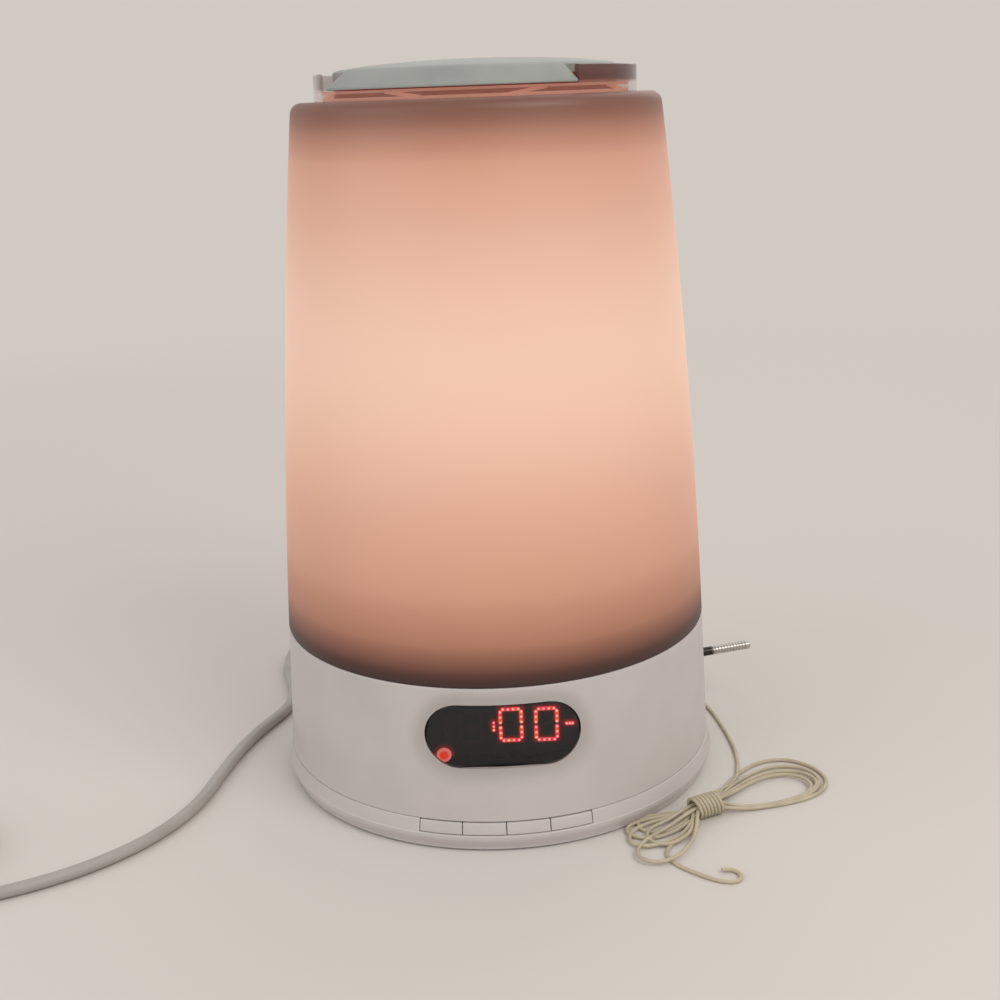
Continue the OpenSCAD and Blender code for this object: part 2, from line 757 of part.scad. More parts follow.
// half outline of the bulb's glass, outer or inner
function bulb_outline(inset) = concat([[cap_thread_r - 0.9 - inset, cap_top_z],
    [cap_thread_r + 0.2 - inset, cap_top_z + 9],
    [18.5 - inset, cap_top_z + 22], [25 - inset, cap_top_z + 37]],
    [for (a = [-25 : 5 : 90]) [(bulb_r - inset) * cos(a), bulb_z + (bulb_r - inset) * sin(a)]]);

module bulb_glass() {
    outer = bulb_outline(0);
    inner = bulb_outline(glass_t);
    color([1, 0.95, 0.88, 0.5]) rotate_extrude()
        polygon(concat(outer, [for (i = [len(inner) - 1 : -1 : 0]) inner[i]]));
}

module bulb_capsule() {
    color("lightyellow") {
        translate([0, 0, cap_top_z]) cylinder(r1 = 8, r2 = 4, h = 16);
        for (side = [-1, 1]) translate([side * 2.6, 0, cap_top_z + 14]) cylinder(r = 0.5, h = 26);
        translate([0, 0, cap_top_z + 38]) {
            cylinder(r = 5, h = 26);
            translate([0, 0, 26]) cylinder(r1 = 5, r2 = 1.6, h = 5);
        }
    }
}

module thermal_fuse() {
    color("lightgray") translate([0, -42, plate_top]) {
        for (side = [-1, 1]) translate([side * 8 - 1, -2.4, 0]) cube([2, 4.8, 5]);
        translate([-7, 0, 2.6]) rotate([0, 90, 0]) cylinder(r = 2, h = 14);
    }
}

module lamp_leads() {
    color("white") for (side = [-1, 1]) translate([side * lead_x, 0, main_top])
        cylinder(r = lead_r, h = holder_low - main_top);
}

// ---- shade and top ----

// points of the shade's outline, moved in by the inset, from the seam to the mouth
function shade_side(inset) = [for (i = [0 : 16])
    let (z = seam_z + (shade_top_z - shade_corner - seam_z) * i / 16)
    [shade_r(z) - inset, z]];
function shade_round(inset) =
    let (r = shade_corner - inset, c = shade_r(shade_top_z - shade_corner) - shade_corner)
    [for (a = [15 : 15 : 90]) [c + r * cos(a), shade_top_z - shade_corner + r * sin(a)]];

module shade() {
    outer = concat(shade_side(0), shade_round(0), [[mouth_r, shade_top_z]]);
    inner = concat([[mouth_r, shade_top_z - shade_wall]], [for (i = [5 : -1 : 0]) shade_round(shade_wall)[i]],
        [for (i = [16 : -1 : 0]) shade_side(shade_wall)[i]]);
    color([1, 0.85, 0.75]) rotate_extrude($fn = 144) polygon(concat(outer, inner));
}

module vent_ring() {
    color([0.95, 0.85, 0.78]) {
        sector(vent_in, vent_r, shade_top_z, shade_top_z + 1.2, 0, 360);
        difference() {
            sector(lip_r, vent_r, vent_z - lip_t, vent_z, 0, 360);
            for (i = [0 : lug_count - 1]) sector(lip_r - 2, vent_in, vent_z - 2 * lip_t, vent_z + 1,
                360 * i / lug_count - cap_turn - lug_angle / 2 - 1, lug_angle + 2);
        }
        for (i = [0 : rib_count - 1]) rotate([0, 0, rib_start + 360 * i / rib_count])
            translate([(vent_in + vent_r) / 2 - 0.2, 0, shade_top_z + vent_h / 2])
            rotate([i % 2 == 0 ? -rib_slope : rib_slope, 0, 0]) cube([rib_t, rib_l, rib_w], center = true);
    }
}

module clear_ring() {
    color([0.85, 0.75, 0.72, 0.4]) {
        sector(vent_r + 0.3, clear_r, shade_top_z, vent_z, 0, 360);
        for (turn = [0, 180]) sector(clear_r - clear_t, clear_r - 0.15, vent_z - 0.2, shade_top_z + clear_h,
            arc_start + turn, arc_angle);
    }
}

module top_cap() {
    skirt_r = clear_r - 0.2;
    color([0.62, 0.66, 0.62]) {
        difference() {
            rotate_extrude() polygon([[skirt_r - 2.4, skirt_z], [skirt_r, skirt_z], [skirt_r, skirt_z + 0.8],
                [crown_r + 0.4, cap_z - cap_dome - 0.8], [crown_r - 1.4, cap_z - cap_dome],
                [40, cap_z - 0.5 * cap_dome], [20, cap_z - 0.13 * cap_dome],
                [0, cap_z], [0, cap_z - cap_wall], [40, cap_z - cap_wall - 0.5 * cap_dome],
                [crown_r - 3, cap_z - cap_wall - cap_dome],
                [skirt_r - 2.8, skirt_z + 1]]);
            for (turn = [0, 180]) sector(crown_r + 0.3, clear_r + 1, skirt_z - 1, cap_z,
                notch_start + turn, notch_angle);
        }
        sector(collar_r - 2, collar_r, vent_z - 3.2, cap_z - cap_wall - cap_dome - 0.1, 0, 360);
        for (i = [0 : lug_count - 1]) sector(collar_r - 1, vent_in - 0.4, vent_z - 3.2, vent_z - lip_t - 0.3,
            360 * i / lug_count - lug_angle / 2, lug_angle);
        for (turn = [0, 120, 240]) rotate([0, 0, turn]) translate([36, 0, cap_z - 6.3])
            cylinder(r = 3, h = 4);
    }
}

module heat_shield() {
    color("silver") translate([0, 0, cap_z - 7.1]) cylinder(r = shield_r, h = 0.8);
}

// ---- fasteners shared by the small boards ----

module small_screws() {
    color("silver") {
        for (p = main_holes) translate([p[0], p[1], main_top]) screw(small_screw_r, 7, 2.2, 1.4);
        radio_frame() for (side = [-1, 1]) translate([radio_holes[0], side * radio_holes[1], radio_z])
            screw(small_screw_r, 7, 2.2, 1.4);
        for (side = [-1, 1]) translate([side * display_screw_x, board_y + board_size[1], window_z]) to_back()
            screw(small_screw_r, 5, 2.2, 1.4);
        for (turn = [0, 120, 240]) rotate([0, 0, turn + 30]) translate([holder_screw_r, 0, plate_top + 3])
            screw(small_screw_r, 6, 2.2, 1.4);
    }
}

// ---- mains lead ----

module cord_clamp() {
    color("ivory") rotate([0, 0, 90 + cord_az]) difference() {
        translate([base_in(cord_z) - 20, -6, floor_z]) cube([10, 12, cord_z + 6 - floor_z]);
        translate([0, 0, cord_z]) rotate([0, 90, 0]) cylinder(r = cord_d / 2 + 0.1, h = far);
    }
}

module mains_lead() {
    start = base_in(cord_z) - 21.5;
    color("lightgray") point_out(90 + cord_az, cord_z) translate([0, 0, start])
        cylinder(d = cord_d, h = base_in(cord_z) - 2.8 - start);
}

module cord_gland() {
    inner = base_in(cord_z) - 0.4;
    grooves = 6;
    groove_pitch = (relief_l - 4) / grooves;
    function relief_r(x) = 4.4 - 1.3 * x / relief_l;
    color("lightgray") point_out(90 + cord_az, cord_z) rotate_extrude() polygon(concat([[0, inner - 2.4],
        [5.5, inner - 2.4],
        [5.5, inner], [gland_r, inner], [gland_r, gland_x], [5.5, gland_x], [5.5, gland_x + 1.6],
            [4.9, gland_x + 2]],
        [for (i = [0 : grooves - 1], k = [0 : 3]) let (x = (i + [0, 0.55, 0.6, 0.95][k]) * groove_pitch + 1)
            [relief_r(x) - (k > 1 ? 0.6 : 0), gland_x + 2 + x]],
        [[relief_r(relief_l) - 0.1, relief_x - 1.6], [relief_r(relief_l) - 0.5, relief_x], [0, relief_x]]));
}

module mains_cord() {
    turn_r = coil_in + (coil_wide - 0.5) * cord_d;
    cord_tip = [relief_x * cos(90 + cord_az), relief_x * sin(90 + cord_az), cord_z];
    coil_start = [coil_centre[0], coil_centre[1] - turn_r, cord_lift + cord_d / 2];
    coil_end = [coil_centre[0] - turn_r, coil_centre[1], cord_lift + (coil_high - 0.5) * cord_d];
    plug_start = [plug_pos[0] * spread, plug_pos[1] * spread, plug_pos[2]];
    cord_end = [coil_end, coil_end + [0, 14, -0.3], plug_start - [0, 14, 0], plug_start];
    color("lightgray") {
        tube(above_table(smooth(concat([cord_tip],
            spread_out(cord_out), [coil_start]), 2), cord_d / 2), cord_d, 10);
        tube(smooth(cord_end, 2), cord_d, 10);
    }
}

module mains_coil() {
    color("lightgray") translate([coil_centre[0], coil_centre[1], cord_lift]) difference() {
        cylinder(r = coil_in + coil_wide * cord_d, h = coil_high * cord_d);
        translate([0, 0, -1]) cylinder(r = coil_in, h = coil_high * cord_d + 2);
    }
}

module cord_tie() {
    w = coil_wide * cord_d;
    h = coil_high * cord_d;
    color("white") translate([coil_centre[0], coil_centre[1] + coil_in - 1, 0]) difference() {
        translate([-2, 0, 0]) cube([4, w + 2, h + 2 * cord_lift]);
        translate([-3, 0.4, cord_lift]) cube([6, w + 1.2, h]);
    }
}

module at_plug() {
    translate([plug_pos[0] * spread, plug_pos[1] * spread, plug_pos[2]]) to_back() children();
}

module plug_body() {
    color("lightgray") at_plug() {
        rotate_extrude() polygon([[0, 0], [3.2, 0], [3.6, 3], [5, plug_neck + 0.2], [0, plug_neck + 0.2]]);
        translate([0, 0, plug_neck]) linear_extrude(plug_l - plug_neck, convexity = 4)
            stadium(plug_w, plug_h);
    }
}

module plug_pins() {
    color("silver") at_plug() for (side = [-1, 1]) translate([side * pin_pitch / 2, 0, plug_l])
        rotate_extrude() polygon([[0, 0], [pin_r, 0], [pin_r, 18], [pin_r - 0.8, 19], [0, 19]]);
}

// ---- aerial wire ----

module aerial_grommet() {
    inner = base_in(aerial_z) - 0.1;
    color("whitesmoke") point_out(aerial_az, aerial_z) rotate_extrude() polygon([[0, inner - 1.4],
        [grommet_r, inner - 1.4],
        [grommet_r, inner], [grommet_r - 0.9, inner], [grommet_r - 0.9, grommet_x], [grommet_r, grommet_x],
        [grommet_r - 0.5, grommet_x + 1.2], [1.2, aerial_x], [0, aerial_x]]);
}

module aerial_lead() {
    join = [hank_pos[0] + hank_join[0], hank_pos[1] + hank_join[1], hank_join[2]];
    color("wheat") tube(above_table(smooth(concat([aerial_tip],
        spread_out(aerial_out), [join]), 2), wire_d / 2), wire_d, 8);
}

module hank_shape() {
    left = [hank_left[0], hank_left[1]];
    right = [hank_right[0], hank_right[1]];
    translate(left) circle(r = hank_left[2], $fn = 32);
    translate(right) circle(r = hank_right[2], $fn = 32);
    polygon([[0, hank_waist], left + [0, hank_left[2]], left - [0, hank_left[2]], [0, -hank_waist],
        right - [0, hank_right[2]], right + [0, hank_right[2]]]);
}

module aerial_hank() {
    color("wheat") translate([hank_pos[0], hank_pos[1], 0]) rotate([0, 0, hank_turn])
        linear_extrude(hank_h) hank_shape();
}

module aerial_tail() {
    route = [for (p = aerial_end) [hank_pos[0] + p[0], hank_pos[1] + p[1], p[2]]];
    color("wheat") tube(above_table(smooth(route, 2), wire_d / 2), wire_d, 8);
}

base_plate();
foot_ring();
rim_ring();
base_housing();
display_window();
display_board();
digit_block();
digits_lit();
digits_unlit();
alarm_light();
key_1();
key_2();
key_3();
key_4();
key_board();
key_switches();
main_board();
capacitors();
power_triac();
heat_sink();
board_chips();
transformer_core();
transformer_coil();
mains_terminal();
speaker_frame();
speaker_cone();
speaker_magnet();
radio_board();
tuner_body();
tuner_bush();
tuner_nut();
tuner_spindle();
lampholder();
lampholder_contacts();
reflector_plate();
bulb_cap();
bulb_glass();
bulb_capsule();
thermal_fuse();
lamp_leads();
shade();
vent_ring();
clear_ring();
top_cap();
heat_shield();
base_screws();
small_screws();
cord_clamp();
cord_gland();
mains_lead();
mains_cord();
mains_coil();
cord_tie();
plug_body();
plug_pins();
aerial_grommet();
aerial_lead();
aerial_hank();
aerial_tail();
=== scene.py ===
import bpy
import bmesh
import json
from math import asin, cos, hypot, pi, radians, sin, sqrt
from mathutils import Matrix, Vector


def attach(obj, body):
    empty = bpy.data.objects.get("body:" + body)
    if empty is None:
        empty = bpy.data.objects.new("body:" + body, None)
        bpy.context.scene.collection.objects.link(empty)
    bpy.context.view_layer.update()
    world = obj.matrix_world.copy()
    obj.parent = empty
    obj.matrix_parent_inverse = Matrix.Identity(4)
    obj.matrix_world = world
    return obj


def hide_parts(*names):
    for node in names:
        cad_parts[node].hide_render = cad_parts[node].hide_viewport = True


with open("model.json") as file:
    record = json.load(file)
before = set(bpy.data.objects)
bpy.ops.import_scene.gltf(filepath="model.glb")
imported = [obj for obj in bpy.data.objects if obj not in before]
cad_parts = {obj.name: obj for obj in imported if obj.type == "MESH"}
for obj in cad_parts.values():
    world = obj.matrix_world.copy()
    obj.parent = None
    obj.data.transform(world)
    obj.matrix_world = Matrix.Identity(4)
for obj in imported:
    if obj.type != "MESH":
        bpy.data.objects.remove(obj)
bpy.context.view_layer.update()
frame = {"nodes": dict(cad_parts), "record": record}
mm = 0.001
black = (0, 0, 0, 1)
sharpCorner = 32  # degrees: flatter edges are shaded smooth

# place in mm; angles in degrees, for looking down, turned right and rolled
cameraLook = {
    "place": (-7.09, -561.97, 277.0),
    "down": 16.3,
    "turn": 1.1,
    "roll": 2.1,
    "lens": 50.4,
    "sensor": 36.0,
    "nearest": 0.02,
}


def addObject(name, data):
    made = bpy.data.objects.new(name, data)
    bpy.context.scene.collection.objects.link(made)
    return made


def placeCamera(look):
    down, turn, roll = (radians(look[k]) for k in ("down", "turn", "roll"))
    ahead = Vector((sin(turn) * cos(down), cos(turn) * cos(down), -sin(down)))
    side = ahead.cross(Vector((0, 0, 1))).normalized()
    rise = side.cross(ahead)
    right = side * cos(roll) - rise * sin(roll)
    up = side * sin(roll) + rise * cos(roll)
    data = bpy.data.cameras.new("roomCamera")
    data.lens, data.sensor_width, data.clip_start = look["lens"], look["sensor"], look["nearest"]
    eye = addObject("roomCamera", data)
    spin = Matrix((right, up, -ahead)).transposed().to_4x4()
    eye.matrix_world = Matrix.Translation(Vector(look["place"]) * mm) @ spin
    bpy.context.scene.camera = eye


placeCamera(cameraLook)
print("camera placed")


def tint(red, green, blue, alpha=1.0):
    # screen colour 0-255 to the linear colour that the shader takes
    linear = []
    for part in (red, green, blue):
        part /= 255
        linear.append(part / 12.92 if part <= 0.04045 else ((part + 0.055) / 1.055) ** 2.4)
    return (*linear, alpha)


class Mask:
    # one output of a node, so that shader maths reads as a sum
    def __init__(self, finish, socket):
        self.finish = finish
        self.socket = socket

    def step(self, operation, *values, clamp=False):
        return self.finish.node("ShaderNodeMath", {"operation": operation, "use_clamp": clamp},
                                dict(enumerate(values)))

    def __add__(self, other):
        return self.step("ADD", self, other)

    def __radd__(self, other):
        return self.step("ADD", other, self)

    def __sub__(self, other):
        return self.step("SUBTRACT", self, other)

    def __rsub__(self, other):
        return self.step("SUBTRACT", other, self)

    def __mul__(self, other):
        return self.step("MULTIPLY", self, other)

    def __rmul__(self, other):
        return self.step("MULTIPLY", other, self)

    def __truediv__(self, other):
        return self.step("DIVIDE", self, other)

    def __pow__(self, other):
        return self.step("POWER", self, other)

    def __abs__(self):
        return self.step("ABSOLUTE", self)

    def clamped(self):
        return self.step("ADD", self, 0.0, clamp=True)

    def above(self, floor):
        return self.step("MAXIMUM", self, floor)

    def below(self, ceiling):
        return self.step("MINIMUM", self, ceiling)

    def ramp(self, low, high):
        # smooth 0 to 1 as the value goes from low to high
        return self.finish.node("ShaderNodeMapRange", {"interpolation_type": "SMOOTHSTEP"},
                                {"Value": self, "From Min": low, "From Max": high})


class Finish:
    def __init__(self, name, **fixed):
        self.material = bpy.data.materials.new(name)
        self.material.use_nodes = True
        self.tree = self.material.node_tree
        self.surface = self.tree.nodes["Principled BSDF"]
        self.place = self.node("ShaderNodeTexCoord", out="Object")
        self.set(**fixed)

    def node(self, kind, settings=None, sockets=None, out=0):
        made = self.tree.nodes.new(kind)
        for key, value in (settings or {}).items():
            if key == "stops":
                self.fillRamp(made.color_ramp, value)
            else:
                setattr(made, key, value)
        for key, value in (sockets or {}).items():
            self.feed(made.inputs[key], value)
        return Mask(self, made.outputs[out])

    def feed(self, socket, value):
        if isinstance(value, Mask):
            self.tree.links.new(value.socket, socket)
        else:
            socket.default_value = value

    def fillRamp(self, ramp, stops):
        ramp.interpolation = "CARDINAL"
        while len(ramp.elements) < len(stops):
            ramp.elements.new(0.5)
        for element, (where, colour) in zip(ramp.elements, stops):
            element.position, element.color = where, colour

    def set(self, **values):
        for key, value in values.items():
            self.feed(self.surface.inputs[key.replace("_", " ")], value)

    def axes(self, wanted):
        # the piece's own x, y or z, in metres
        split = self.node("ShaderNodeSeparateXYZ", None, {0: self.place}).socket.node
        return [Mask(self, split.outputs["xyz".index(axis)]) for axis in wanted]

    def noise(self, size, detail):
        # patches about this size, in metres, as a value round 0.5
        return self.node("ShaderNodeTexNoise", None,
                         {"Vector": self.place, "Scale": 1 / size, "Detail": detail})

    def blend(self, amount, first, second):
        return self.node("ShaderNodeMix", {"data_type": "RGBA"}, {0: amount, 6: first, 7: second}, out=2)

    def bump(self, height, depth):
        self.set(Normal=self.node("ShaderNodeBump", None, {"Height": height, "Distance": depth}))


def shaded(colour, factor):
    return (*(min(1.0, part * factor) for part in colour[:3]), 1.0)


# painted shade in the dish around the window, in metres, and how much dimmer the wall's colour is painted
# there; front is a range of y
dishShadeLook = {
    "halfStraight": 0.01675,
    "middle": 0.0455,
    "radius": 0.0125,
    "reach": 0.008,
    "depth": 0.24,
    "front": (-0.06, -0.05),
}

# plain moulded, coated and metal finishes: colour, how much it varies, roughness, and grain in metres
finishLooks = {
    "white_plastic": {"colour": tint(196, 188, 184), "vary": 0.035, "patch": 0.03, "rough": 0.36,
                      "roughVary": 0.10, "grain": 0.0005, "depth": 0.00002, "dish": dishShadeLook},
    "foot_rubber": {"colour": tint(42, 42, 43), "vary": 0.12, "patch": 0.01, "rough": 0.85,
                    "roughVary": 0.1, "grain": 0.0006, "depth": 0.00006},
    "board_green": {"colour": tint(28, 84, 52), "vary": 0.15, "patch": 0.006, "rough": 0.42,
                    "roughVary": 0.15, "grain": 0.0008, "depth": 0.00003},
    "black_plastic": {"colour": tint(26, 25, 26), "vary": 0.15, "patch": 0.008, "rough": 0.55,
                      "roughVary": 0.15, "grain": 0.0005, "depth": 0.00004},
    "unlit_red": {"colour": tint(46, 22, 22), "vary": 0.1, "patch": 0.003, "rough": 0.5,
                  "roughVary": 0.1, "grain": 0.0005, "depth": 0.00001},
    "capacitor_blue": {"colour": tint(42, 52, 98), "vary": 0.08, "patch": 0.006, "rough": 0.35,
                       "roughVary": 0.1, "grain": 0.001, "depth": 0.00002},
    "bright_metal": {"colour": tint(190, 190, 192), "vary": 0.06, "patch": 0.004, "rough": 0.3,
                     "roughVary": 0.18, "grain": 0.0004, "depth": 0.00001, "metal": 1.0},
    "dark_metal": {"colour": tint(64, 63, 66), "vary": 0.12, "patch": 0.006, "rough": 0.5,
                   "roughVary": 0.15, "grain": 0.0006, "depth": 0.00004},
    "coil_tape": {"colour": tint(212, 176, 78), "vary": 0.08, "patch": 0.005, "rough": 0.4,
                  "roughVary": 0.12, "grain": 0.0008, "depth": 0.00003},
    "ivory_plastic": {"colour": tint(222, 214, 194), "vary": 0.05, "patch": 0.01, "rough": 0.45,
                      "roughVary": 0.12, "grain": 0.0006, "depth": 0.00003},
    "contact_brass": {"colour": tint(206, 166, 88), "vary": 0.08, "patch": 0.004, "rough": 0.32,
                      "roughVary": 0.16, "grain": 0.0004, "depth": 0.00001, "metal": 1.0},
    "reflector_white": {"colour": tint(226, 224, 220), "vary": 0.03, "patch": 0.02, "rough": 0.5,
                        "roughVary": 0.1, "grain": 0.0006, "depth": 0.00002},
    "lead_grey": {"colour": tint(168, 162, 156), "vary": 0.05, "patch": 0.012, "rough": 0.46,
                  "roughVary": 0.14, "grain": 0.0007, "depth": 0.00004},
    "wire_cream": {"colour": tint(186, 174, 150), "vary": 0.10, "patch": 0.009, "rough": 0.5,
                   "roughVary": 0.15, "grain": 0.0005, "depth": 0.00004},
    "bulb_core": {"colour": tint(255, 236, 200), "vary": 0.03, "patch": 0.005, "rough": 0.2,
                  "roughVary": 0.1, "grain": 0.001, "depth": 0.00001},
}


def paintedDishShade(made, look):
    # 1 on the wall, and less in the dish around the window, where shade is painted into the colour
    x, y, z = made.axes("xyz")
    across = (abs(x) - look["halfStraight"]).above(0)
    gap = (across ** 2 + (z - look["middle"]) ** 2) ** 0.5 - look["radius"]
    atFront = 1 - y.ramp(*look["front"])
    return 1 - (1 - gap.ramp(0, look["reach"])) * atFront * look["depth"]


def plainFinish(name, look):
    made = Finish(name, Metallic=look.get("metal", 0.0))
    patches = made.noise(look["patch"], 4.0)
    grain = made.noise(look["grain"], 2.0)
    wear = made.noise(look["patch"] * 0.35, 5.0)  # about three patches of wear to one of colour
    tone = made.blend(patches.ramp(0.3, 0.7), shaded(look["colour"], 1 - look["vary"]),
                      shaded(look["colour"], 1 + look["vary"]))
    # painted shade: the housing's colour darkens in the dish around the window
    if "dish" in look:
        tone = made.blend(paintedDishShade(made, look["dish"]), black, tone)
    made.set(Base_Color=tone, Roughness=(wear - 0.5) * (2 * look["roughVary"]) + look["rough"])
    made.bump(grain, look["depth"])
    return made.material


finishes = {name: plainFinish(name, look) for name, look in finishLooks.items()}

# the frosted shade: a white diffuser, dimmer at its ends, whose light from the bulb inside is painted on as
# emission; its colour is painted darker as shade, most at the seam and the top; sizes and places in metres
shadeLook = {
    "skin": tint(94, 68, 57),
    "ends": tint(40, 24, 19),
    "stops": [(0.0, tint(12, 4, 2)), (0.03, tint(74, 32, 22)), (0.075, tint(142, 92, 70)),
              (0.16, tint(184, 132, 108)), (0.34, tint(212, 164, 140)), (0.56, tint(228, 188, 165)),
              (0.78, tint(212, 166, 143)), (0.9, tint(190, 138, 114)), (0.955, tint(134, 86, 68)),
              (1.0, tint(92, 54, 42))],
    "span": (0.066, 0.275),
    "axis": 0.012,  # x of the brightest line
    "halfWide": 0.085,
    "falloff": 2.2,
    "sides": 0.14,
    "patch": 0.05,
    "cloud": 0.02,
    "belowSeam": 0.003,
    "endReach": 0.016,
    "topShare": 0.5,
}


def shadeFinish(look):
    made = Finish("frosted_shade", Roughness=0.45, Emission_Strength=1.0)
    x, z = made.axes("xz")
    low, high = look["span"]
    rise = ((z - low) / (high - low)).clamped()
    # painted glow: the bulb's light on the shade by height, dimmer to the sides
    glow = made.node("ShaderNodeValToRGB", {"stops": look["stops"]}, {0: rise})
    aside = (abs(x - look["axis"]) / look["halfWide"]) ** look["falloff"]
    cloud = made.noise(look["patch"], 2.0)
    level = 1 - aside * look["sides"] + (cloud - 0.5) * look["cloud"]
    skin = made.blend(cloud.ramp(0.35, 0.65), shaded(look["skin"], 0.97), shaded(look["skin"], 1.03))
    # painted shade: the colour is dark all over, and darker still towards the seam and the top
    overSeam = z.ramp(low - look["belowSeam"], low + look["endReach"])
    underTop = 1 - z.ramp(high - look["endReach"], high) * look["topShare"]
    made.set(Base_Color=made.blend(overSeam * underTop, look["ends"], skin),
             Emission_Color=made.blend(level.clamped(), black, glow))
    made.bump(made.noise(0.0006, 2.0), 0.00002)
    return made.material


finishes["frosted_shade"] = shadeFinish(shadeLook)

smokeLook = {"dark": tint(9, 8, 10), "pale": tint(15, 13, 15), "patch": 0.012, "alpha": 0.62}


def smokeFinish(look):
    made = Finish("window_smoke", Alpha=look["alpha"], Coat_Weight=0.4, Coat_Roughness=0.04)
    hazeAndPaintedGlow = made.noise(look["patch"], 4.0)
    made.set(Base_Color=made.blend(hazeAndPaintedGlow, look["dark"], look["pale"]), Roughness=hazeAndPaintedGlow * 0.08 + 0.04)
    return made.material


finishes["window_smoke"] = smokeFinish(smokeLook)

# the lit strokes of the display and the dots in them
litLooks = {
    "lit_red": {"low": tint(232, 40, 44), "high": tint(240, 92, 52), "strength": 2.0},
    "lit_dot": {"low": tint(250, 150, 168), "high": tint(255, 176, 150), "strength": 2.4},
}


def litFinish(name, look):
    made = Finish(name, Roughness=0.4, Emission_Strength=look["strength"])
    spots = made.noise(0.004, 1.0)
    colour = made.blend(spots.ramp(0.35, 0.65), look["low"], look["high"])
    made.set(Base_Color=shaded(look["low"], 0.5), Emission_Color=colour)
    return made.material


finishes |= {name: litFinish(name, look) for name, look in litLooks.items()}

# the clear ring: its arcs stand above its foot, and are painted darker and less clear, more so towards the
# right, as painted shade of the gap under the cap behind them; places in metres
clearLook = {
    "foot": tint(206, 150, 130),
    "arcs": tint(104, 66, 60),
    "arcsFrom": (0.2784, 0.2800),
    "rightShadeFrom": (0.010, 0.036),
    "alpha": 0.24,
    "arcsAlpha": 0.1,
    "rightShadeAlpha": 0.42,
}


def clearFinish(look):
    made = Finish("clear_plastic", IOR=1.49)
    x, z = made.axes("xz")
    streak = made.noise(0.006, 4.0)
    # painted shade: the arcs are darker and more opaque, more so towards the right
    raised = z.ramp(*look["arcsFrom"])
    rightShade = raised * x.ramp(*look["rightShadeFrom"])
    made.set(Base_Color=made.blend(raised, look["foot"], look["arcs"]), Roughness=streak * 0.16 + 0.04,
             Alpha=raised * look["arcsAlpha"] + rightShade * look["rightShadeAlpha"] + look["alpha"])
    return made.material


finishes["clear_plastic"] = clearFinish(clearLook)

capGreyLook = {"dark": tint(140, 142, 138), "pale": tint(152, 154, 149), "patch": 0.03, "grain": 0.0006}


def capFinish(look):
    made = Finish("cap_grey")
    cloud = made.noise(look["patch"], 4.0)
    grain = made.noise(look["grain"], 2.0)
    made.set(Base_Color=made.blend(cloud.ramp(0.3, 0.7), look["dark"], look["pale"]),
             Roughness=grain * 0.14 + 0.44)
    made.bump(grain, 0.00002)
    return made.material


finishes["cap_grey"] = capFinish(capGreyLook)

# pieces with the bulb's light painted on them as glow, and the bulb's own frost: their own colour, the glow
# and its strength; vent_dark's near-black colour is painted shade
bulbGlowLooks = {
    "vent_plastic": {"base": tint(218, 186, 174), "glow": tint(176, 104, 78), "strength": 0.5},
    "vent_dark": {"base": tint(30, 9, 6), "glow": tint(130, 17, 6), "strength": 0.5},
    "bulb_frost": {"base": tint(236, 228, 216), "glow": tint(255, 214, 170), "strength": 0.6},
}


def bulbGlowFinish(name, look):
    made = Finish(name, Roughness=0.5, Emission_Strength=look["strength"])
    cloud = made.noise(0.008, 3.0)
    made.set(Base_Color=made.blend(cloud, shaded(look["base"], 0.94), shaded(look["base"], 1.05)),
             Emission_Color=made.blend(cloud.ramp(0.35, 0.65), shaded(look["glow"], 0.85), look["glow"]))
    made.bump(made.noise(0.0006, 2.0), 0.00002)
    return made.material


finishes |= {name: bulbGlowFinish(name, look) for name, look in bulbGlowLooks.items()}

# bare metal, darker at its root by the nut as a painted shadow of the lamp; the root ends this far from the
# lamp's axis, in metres
spindleLook = {"rootShadow": tint(62, 56, 52), "bare": tint(188, 184, 178), "rootEnd": (0.102, 0.1045)}


def spindleFinish(look):
    made = Finish("spindle_metal", Metallic=1.0)
    x, y = made.axes("xy")
    along = (x * x + y * y) ** 0.5
    bare = along.ramp(*look["rootEnd"])
    grain = made.noise(0.0004, 3.0)
    # painted shadow: the metal's colour is darker at the root
    made.set(Base_Color=made.blend(bare, look["rootShadow"], look["bare"]), Roughness=grain * 0.2 + 0.18)
    made.bump(grain, 0.00001)
    return made.material


finishes["spindle_metal"] = spindleFinish(spindleLook)
print("finishes made:", len(finishes))


def paint(obj, finish):
    obj.data.materials.clear()
    obj.data.materials.append(finishes[finish])


def paintNodes():
    # CAD nodes keep their shape and get a finish
    finishOf = {row["node"]: row["material_slot"] for row in frame["record"]["subparts"]}
    finishOf["tuner_spindle"] = "spindle_metal"
    for name, obj in frame["nodes"].items():
        paint(obj, finishOf[name])


paintNodes()
print("nodes painted:", len(frame["nodes"]))


def softenShading(mesh, corner=sharpCorner):
    mesh.shade_smooth()
    mesh.set_sharp_from_angle(angle=radians(corner))


def solidMesh(name, verts, faces, weld=False):
    # a mesh with its faces turned outwards; weld joins points that lie at the same place
    samePoint, noLength = 1e-6, 1e-7
    mesh = bpy.data.meshes.new(name)
    mesh.from_pydata(verts, [], faces)
    work = bmesh.new()
    work.from_mesh(mesh)
    if weld:
        bmesh.ops.remove_doubles(work, verts=work.verts, dist=samePoint)
    bmesh.ops.dissolve_degenerate(work, edges=work.edges, dist=noLength)
    bmesh.ops.recalc_face_normals(work, faces=work.faces)
    work.to_mesh(mesh)
    work.free()
    return mesh


def makePiece(name, verts, faces, finish, body, replaces=(), slot=None, corner=sharpCorner, weld=True):
    mesh = solidMesh(name, verts, faces, weld)
    mesh.materials.append(finishes[finish])
    softenShading(mesh, corner)
    piece = addObject(name, mesh)
    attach(piece, body)
    if replaces:
        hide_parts(*replaces)
    return piece


